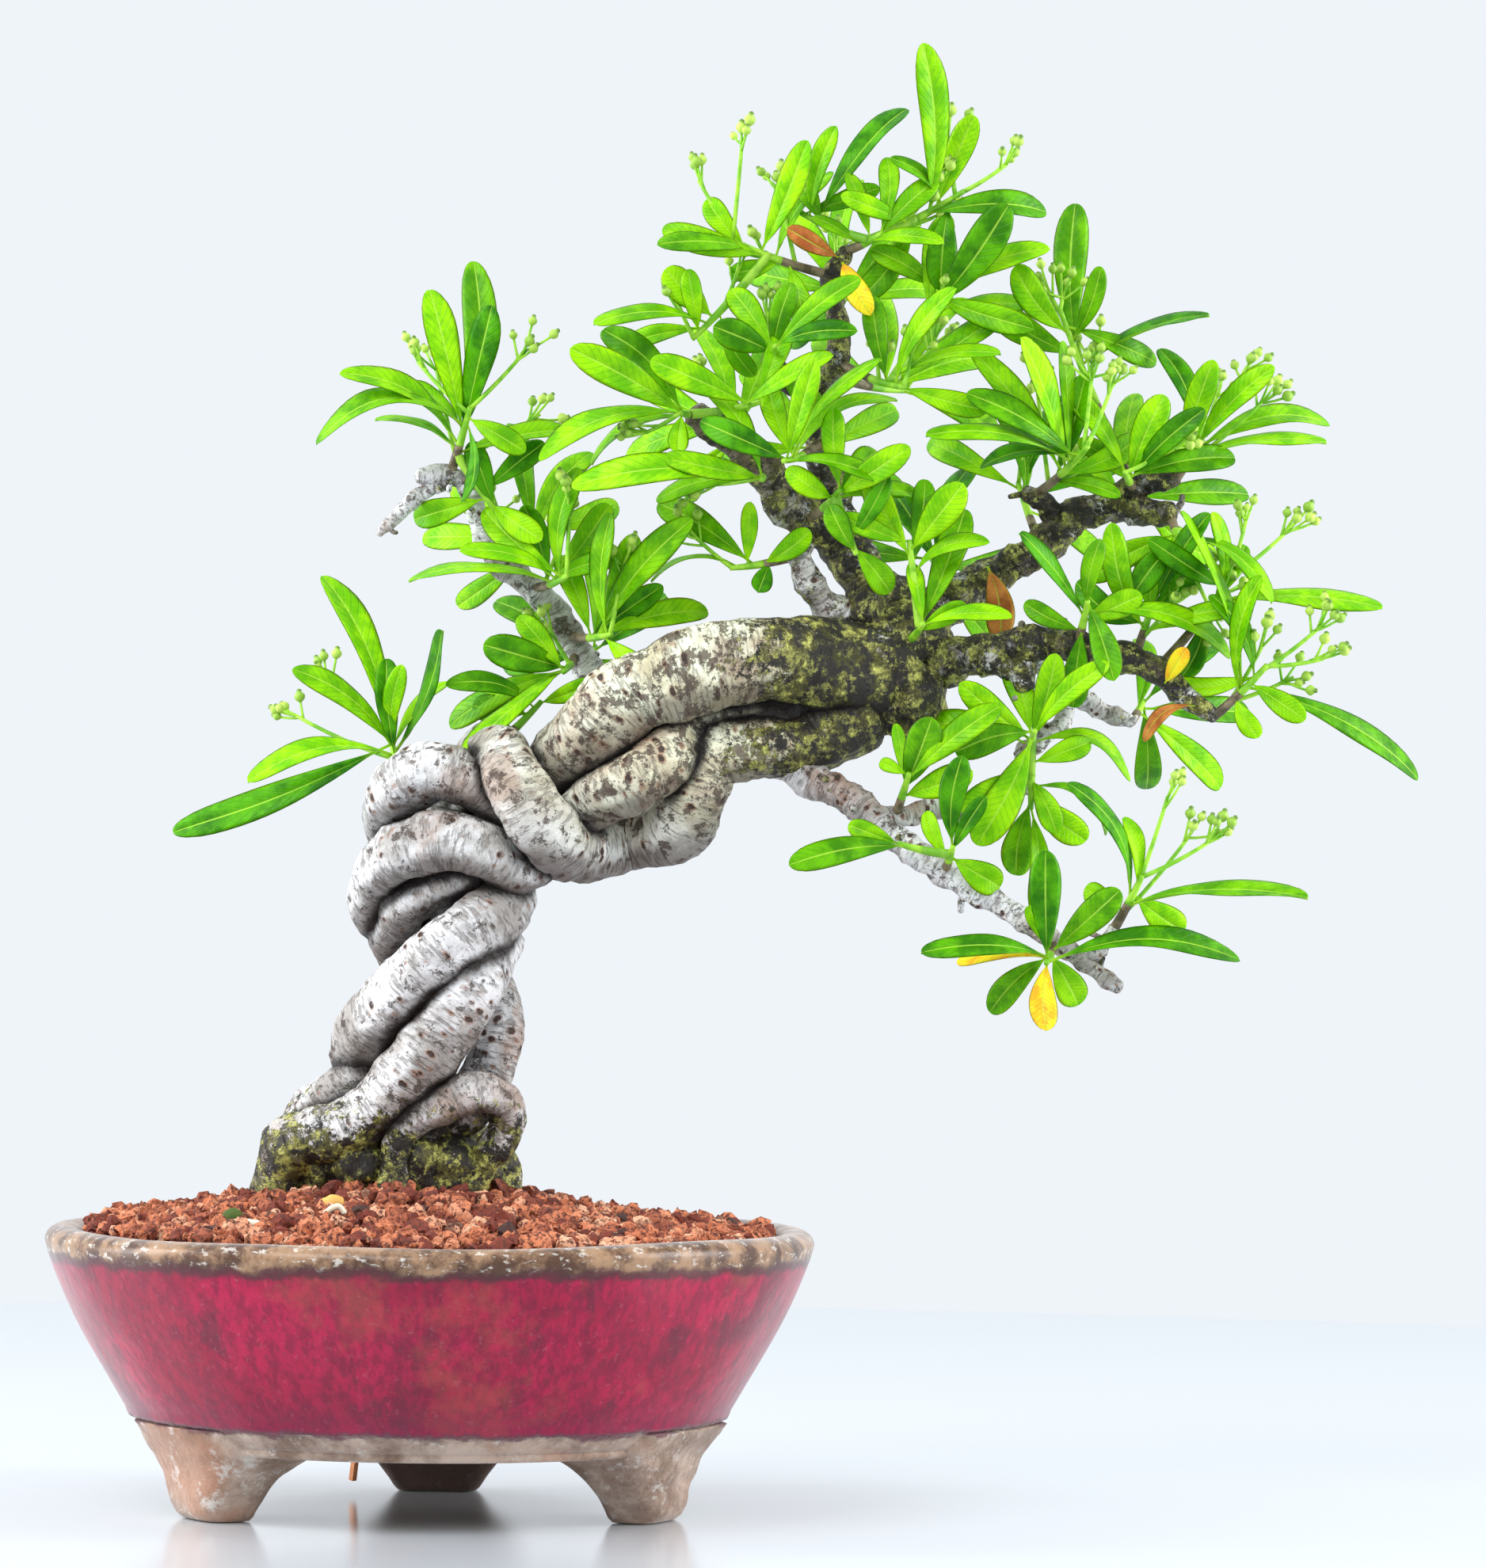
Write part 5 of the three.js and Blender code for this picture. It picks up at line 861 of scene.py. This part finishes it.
def build_litter():
    """Loose bits on the soil: a fertiliser pellet, a pale stick, a curl of straw and a tuft of moss."""
    bits = [
        ("soil_pellet", pellet, [(-21.5, -34, 0.5, 1.7), (-19.8, -34, 0.9, 1.9), (-18.4, -33.6, 0.6, 1.6)]),
        ("soil_stick", straw, [(-42, -50, 0.8, 1.0), (-38.5, -50.5, 1.1, 1.1), (-34.8, -51.4, 0.7, 0.9)]),
        ("soil_straw", straw, [(-21, -44, 0.9, 0.6), (-19.5, -44, 2.0, 0.7), (-18, -43.8, 2.2, 0.7),
                               (-16.8, -44, 0.9, 0.6)]),
        ("soil_moss", moss_tuft, [(-43, -42, 0.3, 1.6), (-41, -42.6, 1.1, 2.2), (-39.5, -42.2, 0.2, 1.5)]),
    ]
    for name, material, points in bits:
        shape = Shape()
        curve = [(x + AXIS[0], y + AXIS[1], mound_top(x, y) + up, r) for x, y, up, r in points]
        path, radii = rounded_ends(*through(curve, 5))
        surface, faces, _, _ = tube(path, radii, 9, lambda p, a, t: wavy(p, 2.2, 31) * 0.12)
        shape.add(surface, faces)
        shape.piece(name, [material], [])


# ---------- Wood ----------
def rooted(points):
    """A stem's points with one more below, down in the soil."""
    x, y, z, radius = points[0]
    return [[x, y, z - ROOT_DEPTH, radius * 0.9], *points]


ALL_LIMBS = {name: [rooted(points)] for name, points in STEMS.items()}
ALL_LIMBS["root_loop"] = [ROOT_LOOP]
ALL_LIMBS.update(BRANCHES)
THICK_LIMBS = [name for name in ALL_LIMBS if name.startswith("trunk") or name == "root_loop"]
STEM_SIDES = 72
# Branches with pale bark, and how mossy each one is. The others are dark.
PALE_BRANCHES = {"branch_left": 0.0, "branch_fork": 0.15, "branch_droop": 0.0, "branch_under": 0.05}
DARK_BRANCH_MOSS = 0.45


def gap_to_others(name, points):
    """How far each point is from the nearest other stem's surface, in millimetres."""
    nearest = np.full(len(points), 50.0)
    for other in THICK_LIMBS:
        if other == name:
            continue
        path, radii = limb_path(ALL_LIMBS[other][0], 6)
        for centre, radius in zip(path, radii):
            nearest = np.minimum(nearest, np.linalg.norm(points - centre, axis=1) - radius)
    return nearest


def moss_at(points):
    """How mossy the bark is: at the foot, and along the crown's end of the trunk."""
    foot = 1 - smoothstep(TREE_FOOT + 3, TREE_FOOT + 32, points[:, 2])
    east = smoothstep(AXIS[0] + 44, AXIS[0] + 92, points[:, 0])
    return np.clip(0.82 * foot + 0.95 * east, 0, 1)


def weather_at(points):
    """How brown and mottled the bark is: more towards the crown."""
    return smoothstep(AXIS[0] - 5, AXIS[0] + 50, points[:, 0]) * smoothstep(135, 170, points[:, 2])


def faces_down(points, sides):
    """How far each point of a tube is on its underside."""
    rings = points.reshape(-1, sides, 3)
    outward = rings - rings.mean(axis=1, keepdims=True)
    outward /= np.linalg.norm(outward, axis=2, keepdims=True)
    return smoothstep(0.15, -0.95, outward[..., 2]).ravel()


def build_stem(name, seed):
    """A stem of the trunk, with muscles that wind along it and knots."""
    shape = Shape()
    path, radii = limb_path(ALL_LIMBS[name][0], 9)
    path, radii = rounded_ends(path, radii, 5)

    def lumps(points, along, turn):
        muscles = np.sin(3 * turn + along / 26 + seed) * 0.35
        knots = wavy(points, 9, seed + 1) * 0.26 + wavy(points, 3.5, seed + 2) * 0.13
        return muscles + wavy(points, 26, seed) * 0.5 + knots

    points, faces, along, turn = tube(path, radii, STEM_SIDES, lumps)
    # The bark reads this crease number as painted shade between the stems.
    crease = 1 - smoothstep(-0.8, 4.2, gap_to_others(name, points))
    # The bark reads this as painted shade on the undersides.
    below = faces_down(points, STEM_SIDES)
    place = np.column_stack([crease, moss_at(points), weather_at(points), below])
    shape.add(points, faces, place=place, grain=limb_grain(along, turn, 7))
    shape.piece(name + "_bark", [bark], [name])


def build_swellings(name, swellings, moss, material):
    """Lumpy balls of old wood that run into one another."""
    shape = Shape()
    rings, sides = 28, 36
    steps = np.linspace(0.04, math.pi - 0.04, rings)
    ball = np.array([on_ball(a, b) for a in steps for b in round_angles(sides)])
    for number, (x, y, z, radius) in enumerate(swellings):
        spot = placed((x, y, z)) + ball * radius
        lumps = wavy(spot, 12, 60 + number) * 0.9 + wavy(spot, 5, 61) * 0.4
        # The first number, 0.15, gives each swelling a little of the bark's painted crease shade.
        shape.add(spot + ball * lumps[:, None], ring_faces(rings, sides), place=(0.15, moss, 0, 0))
    shape.piece(name + "_bark", [material], [name])


def build_branch(name, seed):
    """A branch and its forks, with rings of bark and short dead spurs."""
    shape = Shape()
    chance = np.random.default_rng(seed)
    for fork, points in enumerate(BRANCHES[name]):
        path, radii = rounded_ends(*limb_path(points, 10), 4)

        def knots(surface, along, turn):
            nodes = np.exp(-((along % 7.5 - 3.7) / 1.0) ** 2) * 0.5
            return nodes + wavy(surface, 7, seed + fork) * 0.5 + wavy(surface, 3, seed + 9) * 0.18

        surface, faces, along, turn = tube(path, radii, 26, knots)
        moss = np.clip(moss_at(surface) * 0.3 + PALE_BRANCHES.get(name, DARK_BRANCH_MOSS), 0, 1)
        place = np.column_stack([np.zeros((len(moss), 1)), moss, np.zeros((len(moss), 2))])
        shape.add(surface, faces, place=place, grain=limb_grain(along, turn, 4))
        spurs = max(2, int(along[-1] / 11))
        for _ in range(spurs):
            t = chance.uniform(0.15, 0.97)
            at = int(t * (len(path) - 1))
            spot, size = path[at], radii[at]
            aim = unit(chance.normal(size=3) + (0, 0, 0.4))
            length = size + chance.uniform(1.0, 3.2)
            tip = spot + aim * length + chance.normal(size=3) * 0.5
            spur = np.array([spot, spot + aim * length * 0.7, tip])
            thick = np.array([0.55, 0.5, 0.42]) * size ** 0.5
            nub, nub_faces, _, _ = tube(*rounded_ends(spur, thick, 3), 9)
            shape.add(nub, nub_faces, place=(0, 0.5, 0, 0))
    material = bark if name in PALE_BRANCHES else dark_bark
    shape.piece(name + "_bark", [material], [name])


# ---------- Leaves, shoots and buds ----------
def twig_path(start, end, steps):
    """A line between two points that sags a little."""
    sag = np.array([0, 0, -0.06 * np.linalg.norm(end - start)])
    middle = (start + end) / 2 + sag
    t = np.linspace(0, 1, steps + 1)[:, None]
    return (1 - t) ** 2 * start + 2 * t * (1 - t) * middle + t ** 2 * end


def nearest_on(limb_name, target):
    """The point of a limb's middle line whose surface is nearest to a target, and its radius."""
    paths, radii = zip(*(limb_path(points, 12) for points in ALL_LIMBS[limb_name]))
    path, radii = np.vstack(paths), np.concatenate(radii)
    at = int(np.argmin(np.linalg.norm(path - target, axis=1) - radii))
    return path[at], radii[at]


LEAF_STATIONS = np.concatenate([[0, 0.05, 0.1], np.linspace(0.15, 0.95, 14), [0.975, 0.99, 0.998]])
LEAF_COLUMNS = np.array([-1, -0.72, -0.42, -0.12, 0, 0.12, 0.42, 0.72, 1])
LEAF_THICKNESS = 0.34
TWIG_STEPS = 24
# A bud's outline: share of its length and of its radius, from the stalk to the calyx.
BUD_PROFILE = [(0, 0.3), (0.12, 0.62), (0.35, 0.95), (0.6, 1.0), (0.82, 0.72), (0.97, 0.42), (1.12, 0.5),
               (1.25, 0.12)]


def leaf_outline(t):
    """Half width along a leaf as a share of its widest: a stalk, then fullest past the middle."""
    blade = np.clip((t - 0.1) / 0.9, 0, 1)
    full = 1.31 * blade ** 0.72 * np.sqrt(np.clip(1 - blade ** 2.5, 0, 1))
    return np.maximum(0.07 * (t < 0.97), full) + 0.004


def natural_lean(tuft, number):
    """How far a leaf points away from the camera: to and fro round the twig."""
    return -0.1 + 0.42 * math.sin(2.4 * number + 1.7 * tuft + 0.5)


def add_leaf(shape, root, spec, lean, age, chance):
    """One leaf from the foot of its stalk: arched, a little folded and wavy, thicker at the midrib."""
    angle, length, seen, arch = spec[:4]
    radians = math.radians(angle)
    along = np.array([math.cos(radians), lean, math.sin(radians)])
    span = length * np.linalg.norm(along)
    along = unit(along)
    width = max(seen, min(WIDEST_LEAF, 0.27 * length + 1.5))
    to_viewer = unit(np.array([0, -1, 0]) + along * along[1])
    roll = math.acos(min(1, seen / width))
    choices = []
    for turn in (roll, -roll):
        choices.append(to_viewer * math.cos(turn) + np.cross(along, to_viewer) * math.sin(turn))
    normal = max(choices, key=lambda n: n[2])
    side = np.cross(along, normal)
    t = LEAF_STATIONS[:, None]
    sway = chance.normal() * 0.035 * length
    droop = chance.uniform(0.2, 1.0) * 0.04 * length
    middle = root + along * span * t + normal * (arch * 4 * t * (1 - t) - droop * t ** 3)
    middle = middle + side * sway * np.sin(math.pi * t)
    half = width / 2 * leaf_outline(LEAF_STATIONS)[:, None]
    v = LEAF_COLUMNS[None, :]
    fold = chance.uniform(0.02, 0.3)
    phase = chance.uniform(0, 6.3)
    lift = fold * np.abs(v) * half - 0.10 * half * v ** 2 * (1 + np.sin(6 * t + phase))
    lift = lift - 0.16 * np.exp(-(v / 0.12) ** 2) + 0.05 * half * np.sin(11 * t + phase) * v
    top = middle[:, None, :] + side * (half * v)[..., None] + normal * lift[..., None]
    inner = LEAF_COLUMNS[1:-1]
    thick = LEAF_THICKNESS * (1 - 0.75 * np.abs(inner)) + 0.28 * np.exp(-(inner / 0.14) ** 2)
    thick = thick * np.minimum(1, half / 0.9 + 0.25)
    bottom = (top[:, 1:-1] - normal * thick[..., None])[:, ::-1]
    rings = np.concatenate([top, bottom], axis=1)
    across = np.concatenate([LEAF_COLUMNS, inner[::-1]]) / 2 + 0.5
    upper = np.concatenate([np.ones(len(LEAF_COLUMNS)), np.zeros(len(inner))])
    sides = rings.shape[1]
    count = len(LEAF_STATIONS)
    place = np.column_stack([
        np.repeat(LEAF_STATIONS, sides), np.tile(across, count),
        np.full(sides * count, age), np.tile(upper, count),
    ])
    shape.add(rings.reshape(-1, 3), ring_faces(count, sides), 0, place)


def add_bud(shape, base, aim, size, chance):
    """A small round bud on its stalk, with the calyx drawn to a point."""
    path = np.array([base + aim * size * 2 * t for t, _ in BUD_PROFILE])
    radii = np.array([r * size for _, r in BUD_PROFILE])
    points, faces, along, _ = tube(path, radii, 8)
    constant = np.broadcast_to((0.5, chance.uniform(), 1), (len(along), 3))
    place = np.column_stack([along / along[-1], constant])
    shape.add(points, faces, 2, place)


def add_stalk(shape, path, start, end, age, sides=7):
    """A thin green stalk along a path, from one radius to another."""
    radii = np.linspace(start, end, len(path))
    points, faces, _, _ = tube(path, radii, sides)
    shape.add(points, faces, 1, (0, 0, age, 0))


def add_corymb(shape, seat, spec, chance):
    """A stalk that forks into short stalks, each with one bud."""
    angle, distance = spec
    radians = math.radians(angle)
    aim = unit(np.array([math.cos(radians), 0.1 + chance.normal() * 0.1, math.sin(radians)]))
    fork = seat + aim * (distance - 5.0)
    add_stalk(shape, twig_path(seat, fork, 6), 0.55, 0.42, 0.15)
    for _ in range(int(chance.integers(4, 7))):
        spread = unit(aim + chance.normal(size=3) * 0.48 + (0, 0, 0.15))
        start = fork - aim * chance.uniform(0, 3.5)
        end = start + spread * chance.uniform(3.5, 6.5)
        add_stalk(shape, twig_path(start, end, 3), 0.34, 0.28, 0.1, 5)
        add_bud(shape, end, unit(spread + (0, 0, 0.3)), chance.uniform(0.95, 1.3), chance)


def seat_of(item, items):
    """The first leaf listed sits in the middle of its tuft, and the rest by turns further out and in."""
    step = (item + 1) // 2
    return items // 2 + (-step if item % 2 else step)


def build_spray(number, spray):
    """A leafy shoot: the first tuft's twig grows from the limb, and the others from its base."""
    name, limb_name, tufts = spray
    chance = np.random.default_rng(500 + number)
    shape = Shape()
    first_base = placed(tufts[0][0])
    for tuft_number, (base, leaves, buds) in enumerate(tufts):
        root = placed(base)
        if limb_name in ALL_LIMBS:
            seat, radius = nearest_on(limb_name, root)
        else:
            seat, radius = placed(KNOB[1]), KNOB[1][3]
        start = first_base if tuft_number else seat
        buried = 0 if tuft_number else radius + 1
        items = len(leaves) + len(buds)
        axis = unit(root - start)
        end = root + axis * LEAF_PITCH * items / 2
        path = twig_path(start, end, TWIG_STEPS)
        length = np.linalg.norm(np.diff(path, axis=0), axis=1).sum()
        pitch = min(LEAF_PITCH, (length - buried) / (items + 0.5)) / length
        age = 0.75 if tuft_number == 0 else 0.4
        middle = TWIG_STEPS // 2
        add_stalk(shape, path[:middle + 1], 1.15, 0.95, age, 10)
        add_stalk(shape, path[middle:], 0.95, 0.6, 0.2, 10)
        steps = range(TWIG_STEPS + 1)
        for item, spec in enumerate(leaves + buds):
            step = (1 - (seat_of(item, items) + 0.3) * pitch) * TWIG_STEPS
            spot = np.array([np.interp(step, steps, path[:, i]) for i in range(3)])
            if item < len(leaves):
                lean = spec[4] if len(spec) > 4 else natural_lean(number + tuft_number, item)
                leaf_age = LEAF_AGES.get((name, tuft_number, item), chance.beta(1.3, 2.2))
                add_leaf(shape, spot, spec, lean, leaf_age, chance)
            else:
                add_corymb(shape, spot, spec, chance)
    for owner, base, spec, lean, leaf_age in OLD_LEAVES:
        if owner == name:
            add_leaf(shape, placed(base), spec, lean, leaf_age, chance)
    shape.piece(name + "_foliage", [leaf, shoot, bud], [name])


# ---------- Screen and wires ----------
def paint(node, material):
    """Gives one of the frame's own pieces a material."""
    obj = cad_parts[node]
    if obj.data.materials:
        obj.material_slots[0].material = material
    else:
        obj.data.materials.append(material)


# ---------- Build ----------
build_pot()
build_soil()
build_litter()
for order, stem_name in enumerate(THICK_LIMBS):
    build_stem(stem_name, 100 + 10 * order)
build_swellings("root_flare", FLARE, 1.0, bark)
build_swellings("crown_knob", KNOB, 0.85, dark_bark)
for order, branch_name in enumerate(BRANCHES):
    build_branch(branch_name, 200 + 10 * order)
for order, spray_entry in enumerate(SPRAYS):
    build_spray(order, spray_entry)
paint("drainage_screen", screen_plastic)
paint("screen_clip", brown_wire)
paint("anchor_wire", brown_wire)


# ---------- Stage, light and camera (metres) ----------
TABLE_RADIUS = 0.74
TABLE_THICKNESS = 0.02
CAMERA_PLACE = ((AXIS[0] + 68.6) * MM, -1.6, 0.146)
CAMERA_PITCH = 90.587
CAMERA_ROLL = -0.6


def stage_material():
    material = bpy.data.materials.new("table")
    material.use_nodes = True
    surface = material.node_tree.nodes["Principled BSDF"]
    surface.inputs["Base Color"].default_value = (0.59, 0.635, 0.675, 1)
    surface.inputs["Roughness"].default_value = 0.16
    return material


def build_table():
    sides = 128
    x, y, _ = AXIS * MM
    rim = [(x + TABLE_RADIUS * math.cos(a), y + TABLE_RADIUS * math.sin(a)) for a in round_angles(sides)]
    points = [(*spot, 0) for spot in rim] + [(*spot, -TABLE_THICKNESS) for spot in rim]
    faces = [tuple(range(sides)), tuple(range(2 * sides - 1, sides - 1, -1))]
    faces += [(i, i + sides, (i + 1) % sides + sides, (i + 1) % sides) for i in range(sides)]
    mesh = bpy.data.meshes.new("table")
    mesh.from_pydata(points, [], faces)
    mesh.materials.append(stage_material())
    table = bpy.data.objects.new("table", mesh)
    bpy.context.scene.collection.objects.link(table)


def add_light(name, place, aim, size, power):
    light = bpy.data.lights.new(name, "AREA")
    light.shape = "RECTANGLE"
    light.size, light.size_y = size
    light.energy = power
    obj = bpy.data.objects.new(name, light)
    obj.location = place
    obj.rotation_euler = (Vector(aim) - Vector(place)).to_track_quat("-Z", "Y").to_euler()
    bpy.context.scene.collection.objects.link(obj)


def build_lights():
    world = bpy.data.worlds.new("pale_studio")
    bpy.context.scene.world = world
    world.use_nodes = True
    background = world.node_tree.nodes["Background"]
    background.inputs["Color"].default_value = (0.863, 0.905, 0.95, 1)
    background.inputs["Strength"].default_value = 1.0
    bpy.context.scene.view_settings.view_transform = "Standard"
    middle = (AXIS[0] * MM + 0.05, 0, 0.17)
    add_light("key", (-0.55, -0.75, 1.05), middle, (0.7, 0.7), 11)
    add_light("left_strip", (-0.95, 0.05, 0.35), middle, (0.35, 0.9), 9)
    add_light("right_strip", (0.95, -0.1, 0.35), middle, (0.35, 0.9), 11)


def build_camera():
    """In front at the height of the trunk, looking all but level through a long lens, rolled a little."""
    camera = bpy.data.cameras.new("camera")
    camera.lens = 165.0
    camera.sensor_fit = "VERTICAL"
    camera.sensor_height = 36.0
    camera.clip_end = 20
    obj = bpy.data.objects.new("camera", camera)
    obj.location = CAMERA_PLACE
    obj.rotation_mode = "XYZ"
    obj.rotation_euler = (math.radians(CAMERA_PITCH), math.radians(CAMERA_ROLL), 0)
    bpy.context.scene.collection.objects.link(obj)
    bpy.context.scene.camera = obj


build_table()
build_lights()
build_camera()
